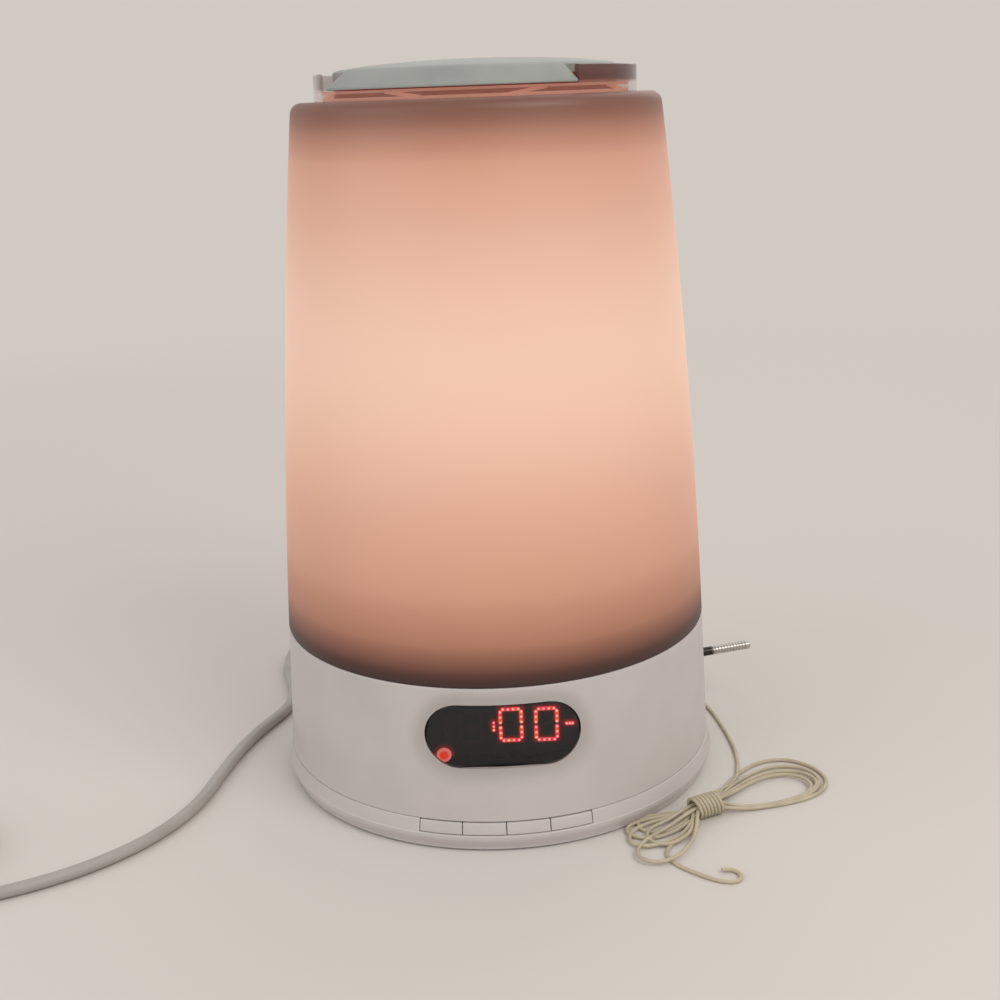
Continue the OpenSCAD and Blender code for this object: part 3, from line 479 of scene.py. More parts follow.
def rounded(profile, steps=4, most=0.48):
    # closed outline of (r, z) or (r, z, radius) points, with its corners rounded
    # a corner takes at most this share of the side next to it
    line = []
    count = len(profile)
    for i, point in enumerate(profile):
        here = Vector(point[:2])
        radius = point[2] if len(point) > 2 else 0.0
        before = Vector(profile[i - 1][:2]) - here
        after = Vector(profile[(i + 1) % count][:2]) - here
        if radius <= 0:
            line.append(here)
            continue
        start = here + before.normalized() * min(radius, before.length * most)
        end = here + after.normalized() * min(radius, after.length * most)
        for k in range(steps + 1):
            t = k / steps
            line.append((1 - t) ** 2 * start + 2 * t * (1 - t) * here + t * t * end)
    return [(p.x, p.y) for p in line]


def latheAt(profile, angles, whole=True, push=None):
    # a closed outline of (r, z) in mm, repeated at angles round the lamp's axis
    # angles count from the front towards the right; push may change a point's r
    verts, faces = [], []
    rows = len(profile)
    for a in angles:
        for r, z in profile:
            reach = push(r, z, a) if push else r
            verts.append((reach * sin(a) * mm, -reach * cos(a) * mm, z * mm))
    for i in range(len(angles) if whole else len(angles) - 1):
        j = (i + 1) % len(angles)
        for k in range(rows):
            n = (k + 1) % rows
            faces.append((i * rows + k, i * rows + n, j * rows + n, j * rows + k))
    if not whole:
        faces.append(tuple(range(rows)))
        faces.append(tuple((len(angles) - 1) * rows + k for k in reversed(range(rows))))
    return verts, faces


def lathe(profile, columns, start=0.0, sweep=2 * pi):
    whole = sweep == 2 * pi
    count = columns if whole else columns + 1
    return latheAt(profile, [start + sweep * i / columns for i in range(count)], whole)


def band(inner, outer, low, high):
    return [(inner, low), (outer, low), (outer, high), (inner, high)]


def prism(outline, low, high, turn):
    # a flat outline in mm pushed from low to high; turn places it
    count = len(outline)
    verts = [turn(u, v, w) for w in (low, high) for u, v in outline]
    faces = [tuple(range(count)), tuple(reversed(range(count, 2 * count)))]
    faces += [(i, (i + 1) % count, count + (i + 1) % count, count + i) for i in range(count)]
    return verts, faces


def stadium(width, height, steps):
    half, radius = (width - height) / 2, height / 2
    line = []
    for side, first in ((1, -90), (-1, 90)):
        for k in range(steps + 1):
            a = radians(first + 180 * k / steps)
            line.append((side * half + radius * cos(a), radius * sin(a)))
    return line


def circle(radius, steps=48):
    return [(radius * cos(2 * pi * k / steps), radius * sin(2 * pi * k / steps)) for k in range(steps)]


def carve(piece, verts, faces):
    cutter = addObject("cutter", solidMesh("cutter", verts, faces))
    change = piece.modifiers.new("cut", "BOOLEAN")
    change.operation, change.solver, change.object = "DIFFERENCE", "EXACT", cutter
    settle(piece)
    bpy.data.objects.remove(cutter)


def settle(piece):
    # turns the piece's modifiers into its mesh
    graph = bpy.context.evaluated_depsgraph_get()
    made = bpy.data.meshes.new_from_object(piece.evaluated_get(graph), depsgraph=graph)
    piece.modifiers.clear()
    old, piece.data = piece.data, made
    bpy.data.meshes.remove(old)
    softenShading(made)


def bevel(piece, width, segments, fromAngle=40):
    change = piece.modifiers.new("round", "BEVEL")
    change.width, change.segments, change.limit_method = width * mm, segments, "ANGLE"
    change.angle_limit = radians(fromAngle)
    settle(piece)


def outward(angle, z):
    # places (u across, v up, w out) on a line that leaves the axis at this angle from the front
    ca, sa = cos(angle), sin(angle)

    def put(u, v, w):
        return ((w * sa + u * ca) * mm, (-w * ca + u * sa) * mm, (z + v) * mm)
    return put


# the mains lead in mm, apart from its length in metres
# it starts at the strain relief's tip, at this angle from the right towards the back
# the coil steps inwards, climbs onto itself and steps outwards at these turns, each over a part of a turn
mainsLook = {
    "diameter": 5.0,
    "angle": 115.0,
    "inlet": 19.0,
    "tip": 117.579,
    "lift": 0.6,
    "coil": (-240.0, -82.0),
    "coilRadius": 34.5,
    "coilPitch": 5.0,
    "coilTurns": 5.25,
    "inwardAt": (0.5, 1.5),
    "inwardTurn": 0.5,
    "climbAt": 2.35,
    "climbTurn": 0.5,
    "outwardAt": (3.1, 4.1),
    "outwardTurn": 0.55,
    "length": 1.38,
    "route": [(-54, 115.8, 18.6), (-58.4, 122.4, 17.6), (-64.5, 127.4, 15.9), (-71.9, 130.4, 13.6),
              (-79.8, 131, 11.2), (-87.6, 129.3, 8.6), (-94.5, 125.4, 6.3), (-99.9, 119.6, 4.3),
              (-103.3, 112.4, 3), (-104.5, 104.6, 2.5), (-103.9, 92, 2.5), (-101, 79, 2.5),
              (-98, 66, 2.5), (-97, 54, 2.5), (-99, 42, 2.5), (-104, 31, 2.5), (-109.5, 18, 2.5),
              (-114, 4, 2.5), (-117.5, -11, 2.5), (-120.5, -27, 2.5), (-124, -44, 2.5), (-131, -61, 2.5),
              (-142, -77, 2.5), (-157, -91, 2.5), (-175, -102, 2.5), (-195, -110, 2.5), (-217, -115, 2.8)],
    "toPlug": [(-274.5, -68.0, 7.8), (-274.5, -54.0, 6.9), (-274.5, -40.0, 6.9)],
}

# the aerial wire in mm, apart from its length in metres; its hank is tied near the lamp
# join, loops, waist, leadIn and wraps are in the tie's frame, and the tail is measured from the tie
aerialLook = {
    "diameter": 1.5,
    "angle": 50.0,
    "exit": (91.52, 17.0),
    "route": [(61.5, 73.3, 16.4), (63.5, 76, 13.5), (66, 78.5, 8), (69, 79.5, 3), (73.5, 77.5, 1),
              (79, 71, 0.8), (85, 61, 0.8), (90.5, 49, 0.8), (95, 35, 0.8), (98, 21, 0.8), (99.5, 7, 0.8),
              (100.5, -7, 0.8), (100.5, -21, 0.8), (98.5, -34, 0.8), (95, -46, 1)],
    "tie": (78.5, -70.0),
    "tieTurn": 24.0,
    "join": [(13, 12.5, 1.2), (8.5, 7.5, 1.8), (4.5, 3.6, 2.5)],
    "loopSteps": 18,
    # each loop: how far it reaches, its width and how far it is turned
    "loops": [(28, 6.4, -8), (62, 17, 11), (34, 7.0, -2), (58, 14, 8), (37, 7.8, 9), (55, 11.5, 5),
              (31, 6.8, 17), (51, 10, 3), (44, 7.8, 27)],
    # where the wire crosses the tie between two loops: sideways and up
    "waist": [(1.6, 3.0), (0.0, 3.0), (-1.6, 3.0), (-2.3, 4.5), (-0.8, 4.5), (0.8, 4.5), (2.3, 4.5),
              (1.6, 6.0), (0.0, 6.1), (-1.7, 6.3)],
    # how far from the tie a loop has opened, turned and come down, and where it starts to wave
    "openOver": 12.0,
    "turnOver": 15.0,
    "downOver": 18.0,
    "waveFrom": 8.0,
    "waveOver": 20.0,
    "wave": 0.5,
    "waveTurns": 3.3,
    "waveShift": 50.0,
    "tableZ": 0.8,
    "layer": 0.3,
    "leadIn": [(0.0, -2.0, 6.6), (2.3, -2.2, 7.1), (4.5, -1.6, 7.6), (5.8, 0.0, 8.1), (6.1, 1.8, 8.0)],
    "wraps": 7.5,
    "wrapSteps": 14,
    "wrapFrom": 6.6,
    "wrapAlong": 12.0,
    "wrapSlant": 0.6,
    "wrapMiddle": 4.7,
    "wrapHalf": (4.2, 3.9),
    "length": 1.38,
    "tail": [(-3.4, -3.2, 0.8), (-3.2, -5.4, 0.8), (-3.9, -8.0, 0.8), (-6.4, -11.4, 0.8),
             (-10.8, -15.6, 0.8), (-15.5, -20.5, 0.8), (-18.8, -25.5, 0.8), (-19.2, -31.0, 0.8),
             (-16.3, -36.5, 0.8), (-11.8, -41.3, 0.8), (-6.9, -45.6, 0.8), (-2.9, -48.3, 0.8),
             (0.7, -49.4, 0.8), (3.0, -49.2, 0.8), (4.8, -47.8, 0.8), (5.5, -45.7, 0.8), (5.0, -43.5, 0.9),
             (3.4, -41.9, 1.0), (1.2, -41.4, 1.2), (-1.0, -42.1, 1.5)],
}


def smoothRamp(t):
    t = max(0.0, min(1.0, t))
    return t * t * (3 - 2 * t)


def leadCurve(name, points, diameter, finish, body, smooth=8):
    data = bpy.data.curves.new(name, "CURVE")
    data.dimensions = "3D"
    data.bevel_depth, data.bevel_resolution = diameter / 2 * mm, 3
    data.resolution_u, data.use_fill_caps = smooth, True
    line = data.splines.new("NURBS")
    line.points.add(len(points) - 1)
    for slot, point in zip(line.points, points):
        slot.co = (*(v * mm for v in point), 1.0)
    line.order_u, line.use_endpoint_u = 3, True
    piece = addObject(name, data)
    data.materials.append(finishes[finish])
    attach(piece, body)
    return piece


def leadStart(look, reach, z):
    a = radians(look["angle"])
    return (reach * cos(a), reach * sin(a), z)


def coilPoints(look, steps=16):
    # rings inwards on the table, then outwards on top of them, clockwise
    low, points = look["lift"] + look["diameter"] / 2, []
    cx, cy = look["coil"]
    for k in range(1, int(steps * look["coilTurns"]) + 1):
        turn = k / steps
        inward = sum(smoothRamp((turn - at) / look["inwardTurn"]) for at in look["inwardAt"])
        back = sum(smoothRamp((turn - at) / look["outwardTurn"]) for at in look["outwardAt"])
        radius = look["coilRadius"] - look["coilPitch"] * (inward - back)
        height = low + look["diameter"] * smoothRamp((turn - look["climbAt"]) / look["climbTurn"])
        angle = radians(-90) - 2 * pi * turn
        points.append((cx + radius * cos(angle), cy + radius * sin(angle), height))
    return points


def makeMainsLead(look):
    start = leadStart(look, look["tip"], look["inlet"])
    coilX, coilY = look["coil"]
    arrive = (coilX, coilY - look["coilRadius"], look["lift"] + look["diameter"] / 2)
    points = [start] + look["route"] + [arrive] + coilPoints(look) + look["toPlug"]
    cord = leadCurve("mainsCord", points, look["diameter"], "lead_grey", "lamp")
    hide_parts("mains_cord", "mains_coil")
    [v * mm for v in start]
    look["diameter"] * mm


def loopPoints(look, k):
    # one folded loop, out to a side and back, from one crossing of the tie to the next
    points = []
    reach, width, turn = look["loops"][k]
    side = 1 if k % 2 else -1
    (fromV, fromZ), (toV, toZ) = look["waist"][k:k + 2]
    flatZ = look["tableZ"] + look["layer"] * (k // 2)
    for step in range(look["loopSteps"]):
        share = (step + 0.5) / look["loopSteps"]
        t = 180 * share - 90
        x = reach * cos(radians(t))
        waving = look["wave"] * smoothRamp((x - look["waveFrom"]) / look["waveOver"])
        ripple = waving * sin(radians(look["waveTurns"] * t + look["waveShift"] * k))
        y = width * sin(radians(2 * t)) * smoothRamp(x / look["openOver"]) + ripple
        bend = radians(turn) * smoothRamp(x / look["turnOver"])
        near = 1 - smoothRamp(x / look["downOver"])
        u = side * (x * cos(bend) - side * y * sin(bend))
        v = y * cos(bend) + side * x * sin(bend) + (fromV + (toV - fromV) * share) * near
        points.append((u, v, (fromZ + (toZ - fromZ) * share) * near + flatZ * (1 - near)))
    return points


def wrapPoints(look):
    # the turns that tie the hank, from one side of its waist to the other
    points = []
    wide, tall = look["wrapHalf"]
    count = int(look["wraps"] * look["wrapSteps"])
    for k in range(2, count + 1):
        a = pi / 2 - 2 * pi * k / look["wrapSteps"]
        u = look["wrapFrom"] - look["wrapAlong"] * k / count - look["wrapSlant"] * sin(a)
        points.append((u, wide * cos(a), look["wrapMiddle"] + tall * sin(a)))
    return points


def makeAerial(look):
    start = leadStart(look, *look["exit"])
    hankX, hankY = look["tie"]
    t = radians(look["tieTurn"])
    hank = list(look["join"])
    for k in range(len(look["loops"])):
        hank += loopPoints(look, k)
    hank += look["leadIn"] + wrapPoints(look)
    laid = [(hankX + u * cos(t) - v * sin(t), hankY + u * sin(t) + v * cos(t), z) for u, v, z in hank]
    tail = [(hankX + x, hankY + y, z) for x, y, z in look["tail"]]
    points = [start] + look["route"] + laid + tail
    wire = leadCurve("aerialWire", points, look["diameter"], "wire_cream", "lamp", smooth=4)
    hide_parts("aerial_lead", "aerial_hank", "aerial_tail")
    [v * mm for v in start]


makeMainsLead(mainsLook)
makeAerial(aerialLook)
print("leads laid")


# the housing in mm, with its columns finer where the front is dished
# each hole is an angle from the front in degrees, a height and a radius; cuts run from and to these radii
baseLook = {
    "stripFoot": (91.0, 7.2),
    "stripTop": (90.0, 12.4),
    "wallRadius": 89.6,
    "lean": 2.2,
    "seam": 66.0,
    "wall": 2.4,
    "deck": 62.4,
    "deckHole": 24.0,
    "spigot": 84.7,
    "rows": 58,
    "front": 27,
    "frontColumns": 120,
    "restColumns": 102,
    "window": (58.5, 25.0, 46.5),
    "windowGap": 0.3,
    "windowCut": (60, 120),
    "dish": 0.75,
    "dishFlat": 0.6,
    "dishWide": (4.2, 6.0),
    "dishSkin": 0.5,  # only points this near the wall's face are sunk
    "dishHalf": 0.7,  # radians to each side of the front
    "holes": [(107, 28, 3.6), (205, 19, 4.15), (140, 17, 1.8)],  # tuner, mains lead and aerial
    "holeCut": (80, 100),
}


def baseRadius(z):
    low, high = baseLook["stripTop"][1], baseLook["seam"]
    return baseLook["wallRadius"] - baseLook["lean"] * (z - low) / (high - low)


def pillDistance(u, v, width, height):
    # how far a point on the wall lies outside the window's outline
    across = max(abs(u) - (width - height) / 2, 0.0)
    return hypot(across, v) - height / 2


def dished(r, z, angle):
    # sinks the front wall's outer points in a shallow dish around the window
    width, height, middle = baseLook["window"]
    onWall = r >= baseRadius(z) - baseLook["dishSkin"]
    if not onWall or abs(angle) > baseLook["dishHalf"]:
        return r
    u = r * angle
    v = z - middle
    gap = pillDistance(u, v, width, height) - baseLook["dishFlat"]
    sideways, upward = baseLook["dishWide"]
    spread = sideways + (upward - sideways) * smoothRamp(abs(v) / (height / 2))
    return r - baseLook["dish"] * (1 - smoothRamp(gap / spread))


def makeHousing(look):
    low, seam, deck, wall = look["stripTop"][1], look["seam"], look["deck"], look["wall"]
    spigot, deckHole, rows = look["spigot"], look["deckHole"], look["rows"]
    heights = [low + 1 + (seam - 2 - low) * k / rows for k in range(rows + 1)]
    outline = [(baseRadius(low) - 0.35, low), (baseRadius(low), low + 0.35)]
    outline += [(baseRadius(z), z) for z in heights]
    outline += [(baseRadius(seam) - 0.02, seam - 0.45), (baseRadius(seam) - 0.16, seam - 0.14),
                (baseRadius(seam) - 0.45, seam), (spigot, seam), (spigot, seam + 3.6),
                (spigot - 0.5, seam + 4), (spigot - 2.2, seam + 4), (spigot - 2.2, deck), (deckHole, deck),
                (deckHole, deck - wall), (baseRadius(deck - wall) - wall, deck - wall),
                (baseRadius(low) - wall, low)]
    half, fine, coarse = look["front"], look["frontColumns"], look["restColumns"]
    front = [radians(-half + 2 * half * k / fine) for k in range(fine + 1)]
    rest = [radians(half + (360 - 2 * half) * k / coarse) for k in range(1, coarse)]
    verts, faces = latheAt(outline, front + rest, push=dished)
    housing = makePiece("baseHousing", verts, faces, "white_plastic", "lamp", replaces=["base_housing"])
    width, height, middle = look["window"]
    pane = stadium(width + look["windowGap"], height + look["windowGap"], 24)
    carve(housing, *prism(pane, *look["windowCut"], outward(0, middle)))
    for angle, z, radius in look["holes"]:
        carve(housing, *prism(circle(radius), *look["holeCut"], outward(radians(angle), z)))
    return housing


# the slots in the back before the speaker, cut in a round field
speakerLook = {"slots": 7, "pitch": 5.0, "slotWide": 2.4, "field": 19.0, "height": 37, "cut": (70, 100)}


def cutSpeakerSlots(housing, look):
    for i in range(look["slots"]):
        across = (i - (look["slots"] - 1) / 2) * look["pitch"]
        tall = 2 * sqrt(look["field"] ** 2 - across ** 2)
        outline = [(v + across, u) for u, v in stadium(tall, look["slotWide"], 8)]
        carve(housing, *prism(outline, *look["cut"], outward(pi, look["height"])))


cutSpeakerSlots(makeHousing(baseLook), speakerLook)

# the ring around the base's foot, with the strip that holds the keys, in mm
rimLook = {"radius": 91.2, "foot": 89.4, "plate": 86.0, "plateGap": 0.2, "ledge": 86.6, "edge": 0.12}

# the keys: pitch and the spare at the strip's ends in degrees, the rest in mm
keyLook = {
    "count": 4,
    "pitch": 10.7,
    "spare": 0.094,
    "gap": 0.3,
    "low": 7.6,
    "high": 12.1,
    "edge": 0.35,
    "inner": 88.4,
    "opening": (78.0, 97.0, 7.3, 14.0),
}


def makeRim(look, base, keys):
    rim, (footR, footZ), (topR, topZ) = look["radius"], base["stripFoot"], base["stripTop"]
    foot, ledge, inner = look["foot"], look["ledge"], look["plate"] + look["plateGap"]
    outline = rounded([(inner, 0.6, 0.2), (foot, 0.6, 0.8), (foot + 0.1, 1.8, 0.5), (rim, 5.2, 1.6),
                       (rim, footZ - 0.3, 0.2), (footR, footZ, 0.1), (topR, topZ, 0.35), (ledge, topZ),
                       (ledge, topZ - 1.6), (topR - 2, topZ - 1.8), (footR - 2.4, footZ - 0.2),
                       (footR - 2.8, 5.4), (inner - 2.2, 5.4, 0.2), (inner - 2.2, 3.8, 0.2), (inner, 3.8)])
    ring = makePiece("rimRing", *lathe(outline, 288), "white_plastic", "lamp", replaces=["rim_ring"])
    half = radians(keys["count"] / 2 * keys["pitch"] + keys["spare"])
    carve(ring, *lathe(band(*keys["opening"]), 60, -half, 2 * half))
    bevel(ring, look["edge"], 2)


def makeKeys(look, base):
    footR, topR = base["stripFoot"][0], base["stripTop"][0]
    outline = [(look["inner"], look["low"]), (footR - 0.07, look["low"]), (topR + 0.05, look["high"]),
               (look["inner"], look["high"])]
    half = radians(look["pitch"] / 2) - asin(look["gap"] / 2 / footR)
    for i in range(look["count"]):
        start = radians((i - (look["count"] - 1) / 2) * look["pitch"]) - half
        node = "key_%d" % (i + 1)
        key = makePiece("key%d" % (i + 1), *lathe(outline, 14, start, 2 * half), "white_plastic", node,
                        replaces=[node])
        bevel(key, look["edge"], 4)


makeRim(rimLook, baseLook, keyLook)
makeKeys(keyLook, baseLook)
print("base built")


# the window from its edge inwards: each ring's share of the outline, and how far it lies under the wall in mm
windowLook = {
    "edge": [(1.0, 1.75), (1.0, 1.2), (0.992, 1.0), (0.975, 0.92)],
    "face": (0.95, 0.9),
    "faceRings": 12,
    "radius": 86.5,
}


def makeWindow(look, base):
    width, height, middle = base["window"]
    outline = stadium(width, height, 28)
    widest, depth = look["face"]
    steps = look["faceRings"]
    rings = look["edge"] + [(widest - widest * k / steps, depth) for k in range(steps + 1)]
    verts, faces = [], []
    for scale, under in rings:
        for u, v in outline:
            z = middle + v * scale
            r = baseRadius(z) - under
            a = u * scale / look["radius"]
            verts.append((r * sin(a) * mm, -r * cos(a) * mm, z * mm))
    for k in range(len(rings) - 1):
        faces += ringFaces(k, len(outline))
    makePiece("displayWindow", verts, faces, "window_smoke", "lamp", replaces=["display_window"], corner=50)


def ringFaces(k, count):
    # the faces between ring k of points and the next ring
    ends = [(i, (i + 1) % count) for i in range(count)]
    return [(k * count + i, k * count + j, (k + 1) * count + j, (k + 1) * count + i) for i, j in ends]


makeWindow(windowLook, baseLook)

# the display in mm: places are in x and z, and face is the y of the lit bars' backs
displayLook = {
    "face": -80.05,
    "middle": 47.9,
    "digitW": 9.4,
    "digitH": 14.2,
    "digits": ((3.2, 0.0), (16.6, -0.3)),
    "bar": 1.5,
    "barGap": 0.55,
    "barDepth": 0.3,
    "dot": 1.02,
    "dotRise": 0.42,
    "dotDepth": 0.2,
    "dotInset": 1.6,
    "dash": (25.3, 47.5),
    "dashWide": 3.7,
    "dashDot": 0.95,
    "dashPitch": 1.1,
    "colon": (-3.3, 47.5),
    "colonBar": 1.4,
    "colonDot": 0.8,
    "colonPitch": 1.5,
}


def segmentPlaces(look):
    # the six lit bars of a nought: place, whether the bar lies flat, and its length
    w = look["digitW"] - look["bar"]
    h = (look["digitH"] - look["bar"]) / 2
    return [(0, h, True, w), (w / 2, h / 2, False, h), (w / 2, -h / 2, False, h), (0, -h, True, w),
            (-w / 2, -h / 2, False, h), (-w / 2, h / 2, False, h)]


def roundSlab(x, z, width, height, front, depth, steps=5):
    # a rounded lozenge on the display's face, in mm
    outline = stadium(max(width, height), min(width, height), steps)
    if height > width:
        outline = [(-v, u) for u, v in outline]
    verts, faces = [], []
    count = len(outline)
    for scale, y in ((1.0, front + depth), (1.0, front + depth * 0.3), (0.72, front)):
        verts += [((x + u * scale) * mm, y * mm, (z + v * scale) * mm) for u, v in outline]
    for k in range(2):
        faces += ringFaces(k, count)
    faces.append(tuple(range(2 * count, 3 * count)))
    faces.append(tuple(reversed(range(count))))
    return verts, faces


def joined(parts):
    verts, faces = [], []
    for someVerts, someFaces in parts:
        shift = len(verts)
        verts += someVerts
        faces += [tuple(i + shift for i in face) for face in someFaces]
    return verts, faces


def makeDigits(look):
    bars, dots = [], []
    bar, front, middle = look["bar"], look["face"], look["middle"]

    def addBar(x, z, wide, tall):
        bars.append(roundSlab(x, z, wide, tall, front - look["barDepth"], look["barDepth"]))

    def addDot(x, z, size):
        dots.append(roundSlab(x, z, size, size, front - look["dotRise"], look["dotDepth"]))

    for digitX, drop in look["digits"]:
        for x, z, flat, length in segmentPlaces(look):
            long = length - look["barGap"]
            barX, barZ = digitX + x, middle + drop + z
            addBar(barX, barZ, *((long, bar) if flat else (bar, long)))
            count = 4 if flat else 3
            for k in range(count):
                along = (k - (count - 1) / 2) * (long - look["dotInset"]) / (count - 1)
                dx, dz = (along, 0) if flat else (0, along)
                addDot(barX + dx, barZ + dz, look["dot"])
    dashX, dashZ = look["dash"]
    addBar(dashX, dashZ, look["dashWide"], bar)
    for k in (-1, 0, 1):
        addDot(dashX + k * look["dashPitch"], dashZ, look["dashDot"])
    colonX, colonZ = look["colon"]
    for k in (-1, 0, 1):
        addBar(colonX, colonZ + k * look["colonPitch"], look["colonBar"], look["colonBar"])
        addDot(colonX, colonZ + k * look["colonPitch"], look["colonDot"])
    makePiece("digitBars", *joined(bars), "lit_red", "lamp", replaces=["digits_lit"], weld=False)
    makePiece("digitDots", *joined(dots), "lit_dot", "lamp", slot="lit_red", weld=False)


makeDigits(displayLook)

# the round alarm light in mm: deep red, paler towards its edge
alarmLook = {
    "place": (-22.5, 36.6),
    "radius": 2.8,
    "rise": 0.5,
    "depth": 0.7,
    "strength": 1.6,
    "base": tint(120, 30, 20),
    "middle": tint(250, 52, 24),
    "edge": tint(240, 128, 120),
}


def distanceFrom(x, z, place):
    return ((x - place[0] * mm) ** 2 + (z - place[1] * mm) ** 2) ** 0.5


def alarmFinish(look):
    made = Finish("alarm_glow", Roughness=0.4, Emission_Strength=look["strength"])
    far = distanceFrom(*made.axes("xz"), look["place"]) / (look["radius"] * mm)
    made.set(Base_Color=look["base"],
             Emission_Color=made.blend(far.ramp(0.45, 0.8), look["middle"], look["edge"]))
    return made.material


def makeAlarmLight(look, display):
    width = 2 * look["radius"]
    disc = roundSlab(*look["place"], width, width, display["face"] - look["rise"], look["depth"], 24)
    makePiece("alarmDisc", *disc, "alarm_glow", "lamp", replaces=["alarm_light"], slot="lit_red")


finishes["alarm_glow"] = alarmFinish(alarmLook)
makeAlarmLight(alarmLook, displayLook)

# the red glow of the lit strokes, painted on the block's face: span is where it starts and ends, in mm from
# the lit strokes
# alarmShare is the same for the alarm light, as shares of its radius
haloLook = {
    "block": tint(14, 12, 13),
    "hazeAndPaintedGlow": tint(150, 14, 16),
    "span": (0.4, 2.1),
    "strokeHalf": (1.6, 0.2),
    "alarmShare": (0.9, 1.75),
}


def haloFinish(look, display, alarm):
    # the painted glow lies along the digits' outlines, the dash and the colon, and around the alarm light
    made = Finish("display_block", Roughness=0.6, Emission_Strength=1.0)
    x, z = made.axes("xz")
    halfBar = display["bar"] / 2
    halfW, halfH = display["digitW"] / 2 - halfBar, display["digitH"] / 2 - halfBar

    def near(centreX, centreZ, halfWide, halfTall):
        # 1 on the outline of a box, in mm, and less away from it
        dx = abs(x - centreX * mm) - halfWide * mm
        dz = abs(z - centreZ * mm) - halfTall * mm
        outside = (dx.above(0.0) ** 2 + dz.above(0.0) ** 2) ** 0.5
        inside = dx.above(dz).below(0.0)
        return 1 - (outside + abs(inside)).ramp(*(v * mm for v in look["span"]))

    long, short = look["strokeHalf"]
    glow = near(*display["dash"], long, short) + near(*display["colon"], short, long)
    for digitX, drop in display["digits"]:
        glow = glow + near(digitX, display["middle"] + drop, halfW, halfH)
    rings = (share * alarm["radius"] * mm for share in look["alarmShare"])
    ringed = 1 - distanceFrom(x, z, alarm["place"]).ramp(*rings)
    # painted glow of the lit strokes and the alarm light on the block's face
    hazeAndPaintedGlow = (glow + ringed).clamped()
    made.set(Base_Color=look["block"], Emission_Color=made.blend(hazeAndPaintedGlow, black, look["hazeAndPaintedGlow"]))
    made.bump(made.noise(0.0006, 2.0), 0.00002)
    return made.material


finishes["display_block"] = haloFinish(haloLook, displayLook, alarmLook)
paint(frame["nodes"]["digit_block"], "display_block")
print("display lit")


# the shade's shell in mm; taper and bow together are how much less its radius is at the top than at the seam
shadeShape = {
    "top": 275.0,
    "taper": 9.2,
    "bow": 7.2,
    "corner": 4.5,
    "mouth": 54.0,
    "wall": 2.2,
    "rows": 64,
}


def shadeRadius(z):
    t = (z - baseLook["seam"]) / (shadeShape["top"] - baseLook["seam"])
    return baseRadius(baseLook["seam"]) - shadeShape["taper"] * t - shadeShape["bow"] * t * t


def makeShade(look, low):
    top, corner, mouth, wall, rows = (look[k] for k in ("top", "corner", "mouth", "wall", "rows"))
    centre = shadeRadius(top - corner) - corner

    def cornerArc(radius):
        turns = [radians(9 * k) for k in range(11)]
        return [(centre + radius * cos(a), top - corner + radius * sin(a)) for a in turns]

    side = [low + 0.4 + (top - corner - low - 0.4) * k / rows for k in range(rows + 1)]
    outline = [(shadeRadius(low) - 0.4, low), (shadeRadius(low) - 0.1, low + 0.12)]
    outline += [(shadeRadius(z), z) for z in side] + cornerArc(corner)[1:]
    outline += [(mouth + 0.4, top), (mouth, top - 0.4), (mouth, top - wall)]
    outline += reversed(cornerArc(corner - wall))
    outline += [(shadeRadius(z) - wall, z) for z in reversed(side[::8])]
    outline.append((shadeRadius(low) - wall, low))
    makePiece("shadeShell", *lathe(outline, 180), "frosted_shade", "lamp", replaces=["shade"])


makeShade(shadeShape, baseLook["seam"])

# the clear ring in mm; its two arcs stand on it, from and over these degrees round the lamp's axis
clearShape = {
    "inner": 58.9,
    "outer": 62.0,
    "top": 278.7,
    "arc": (35.4, 73.0),
    "arcRise": 10.0,
    "arcWall": 2.4,
    "arcInset": 0.15,
}

# the cap in mm; its notches and lugs are in degrees round the lamp's axis
capShape = {
    "top": 289.2,
    "dome": 3.0,
    "crown": 54.0,
    "skirtGap": 0.3,
    "skirtInset": 0.2,
    "notch": (35.0, 83.0),
    "notchCut": (64.0, 277.0, 290.0),
    "collar": (52.3, 54.3, 275.5, 284.2),
    "lug": (53.6, 56.2, 275.5, 277.2),
    "lugHalf": 3.0,
}


def makeCap(look, clear):
    top, dome, crown = look["top"], look["dome"], look["crown"]
    skirt, outer = clear["top"] + look["skirtGap"], clear["outer"] - look["skirtInset"]
    outline = rounded([(outer - 2.4, skirt, 0.2), (outer, skirt, 0.25), (outer, skirt + 0.9, 0.5),
                       (crown + 0.5, top - dome - 1.0, 1.0), (crown - 1.4, top - dome, 1.6),
                       (40, top - dome / 2, 6), (20, top - dome / 8, 6), (0, top), (0, top - 2),
                       (40, top - dome / 2 - 2), (crown - 3, top - dome - 2), (outer - 2.8, skirt + 1)])
    cap = makePiece("topCap", *lathe(outline, 216), "cap_grey", "cap", replaces=["top_cap"])
    first, sweep = look["notch"]
    notch = band(crown + 0.3, *look["notchCut"])
    for turn in (0, 180):
        carve(cap, *lathe(notch, 83, radians(first + turn), radians(sweep)))
    half = look["lugHalf"]
    parts = [lathe(band(*look["collar"]), 180)]
    for turn in (0, 120, 240):
        parts.append(lathe(band(*look["lug"]), 12, radians(turn - half), radians(2 * half)))
    # the collar's dark red, seen through the vents, is painted shade and the bulb's painted glow
    makePiece("capCollar", *joined(parts), "vent_dark", "cap", slot="cap_grey", weld=False)


makeCap(capShape, clearShape)


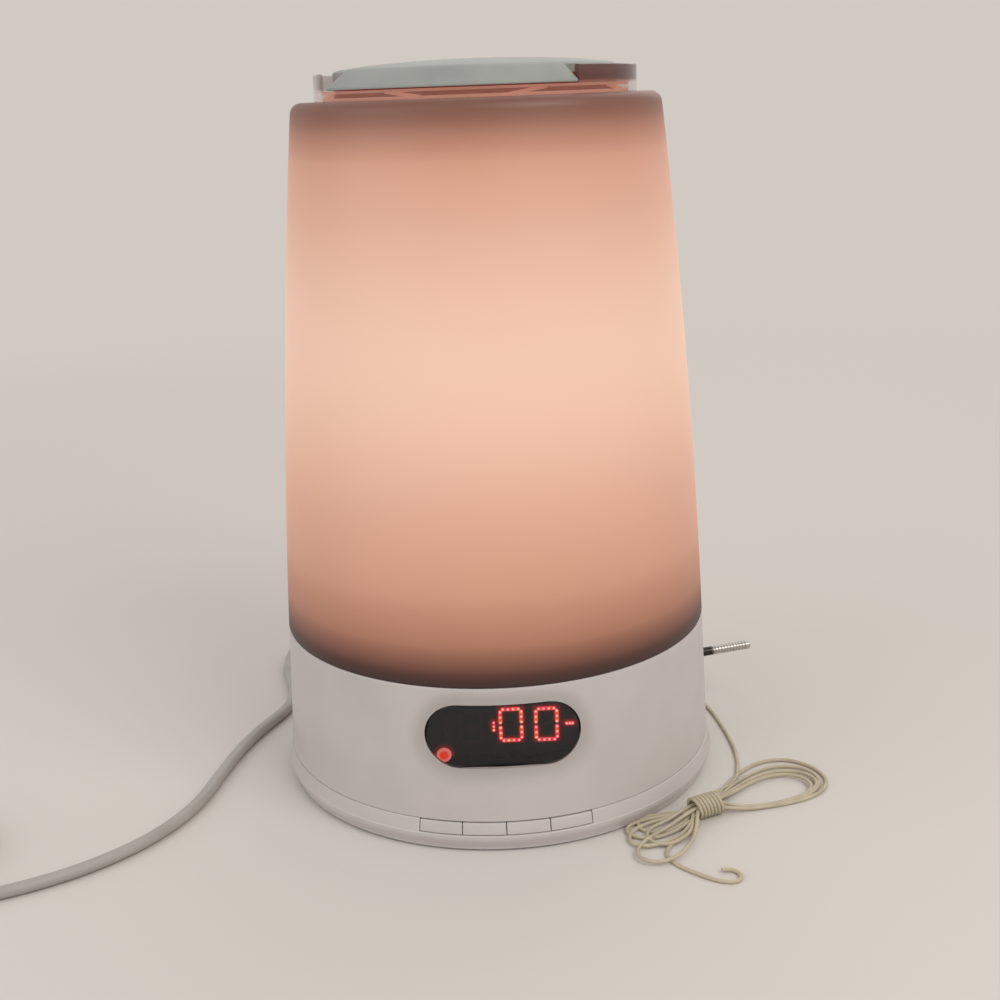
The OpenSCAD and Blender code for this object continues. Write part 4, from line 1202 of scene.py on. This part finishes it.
def makeClearRing(look, low):
    inner, outer, top = look["inner"], look["outer"], look["top"]
    face, back, arcTop = outer - look["arcInset"], outer - look["arcWall"], low + look["arcRise"]
    ring = rounded([(inner, low, 0.2), (outer, low, 0.5), (outer, top, 0.5), (inner, top, 0.2)])
    arc = rounded([(back, top - 0.2), (face, top - 0.2), (face, arcTop, 0.8), (back, arcTop, 0.8)])
    first, sweep = look["arc"]
    parts = [lathe(ring, 216)]
    for turn in (0, 180):
        parts.append(lathe(arc, 60, radians(first + turn), radians(sweep)))
    makePiece("clearRing", *joined(parts), "clear_plastic", "lamp", replaces=["clear_ring"], weld=False)


makeClearRing(clearShape, shadeShape["top"])
print("shade and top built")


# the floor fades into the plain sky between these distances from the lamp, in metres
stageLook = {
    "floor": tint(214, 208, 202),
    "half": 4.0,
    "fade": (0.35, 1.3),
    "sky": tint(209, 202, 195),
    "skyLight": 0.62,
    "skyTint": (1.0, 0.985, 0.97, 1),
}


def makeStage(look):
    half = look["half"]
    mesh = bpy.data.meshes.new("floor")
    corners = [(-half, -half, 0), (half, -half, 0), (half, half, 0), (-half, half, 0)]
    mesh.from_pydata(corners, [], [(0, 1, 2, 3)])
    floor = addObject("floor", mesh)
    made = Finish("floorPaint", Roughness=0.9, Base_Color=look["floor"], Specular_IOR_Level=0.1)
    x, y = made.axes("xy")
    far = ((x * x + y * y) ** 0.5).ramp(*look["fade"])
    paper = made.node("ShaderNodeEmission", None, {"Color": look["sky"], "Strength": 1.0})
    both = made.node("ShaderNodeMixShader", None, {0: far, 1: Mask(made, made.surface.outputs[0]), 2: paper})
    made.feed(made.tree.nodes["Material Output"].inputs["Surface"], both)
    mesh.materials.append(made.material)


def makeSky(look):
    # the camera sees the plain sky, and the rest gets the sky's light
    world = bpy.data.worlds.new("room")
    bpy.context.scene.world = world
    world.use_nodes = True
    tree = world.node_tree
    tree.nodes.clear()
    out = tree.nodes.new("ShaderNodeOutputWorld")
    seen, light = tree.nodes.new("ShaderNodeBackground"), tree.nodes.new("ShaderNodeBackground")
    path, mix = tree.nodes.new("ShaderNodeLightPath"), tree.nodes.new("ShaderNodeMixShader")
    seen.inputs["Color"].default_value, seen.inputs["Strength"].default_value = look["sky"], 1.0
    light.inputs["Color"].default_value = look["skyTint"]
    light.inputs["Strength"].default_value = look["skyLight"]
    tree.links.new(path.outputs["Is Camera Ray"], mix.inputs[0])
    tree.links.new(light.outputs[0], mix.inputs[1])
    tree.links.new(seen.outputs[0], mix.inputs[2])
    tree.links.new(mix.outputs[0], out.inputs[0])


lampLooks = {
    "keyLamp": {"place": (0.75, -0.9, 1.15), "size": 0.9, "power": 9.0, "colour": (1.0, 0.97, 0.94)},
    "fillLamp": {"place": (-1.1, -0.6, 0.7), "size": 1.2, "power": 4.5, "colour": (0.95, 0.97, 1.0)},
    "backLamp": {"place": (0.3, 1.0, 0.9), "size": 1.0, "power": 2.5, "colour": (1.0, 0.98, 0.95)},
}


def makeLamps(looks):
    target = Vector((0, 0, 0.13))  # about the middle of the lamp
    for name, look in looks.items():
        data = bpy.data.lights.new(name, "AREA")
        data.energy, data.size, data.color = look["power"], look["size"], look["colour"]
        lamp = addObject(name, data)
        lamp.location = look["place"]
        lamp.rotation_euler = (target - lamp.location).to_track_quat("-Z", "Y").to_euler()


makeStage(stageLook)
makeSky(stageLook)
makeLamps(lampLooks)
bpy.context.scene.view_settings.view_transform = "Standard"
print("stage lit")
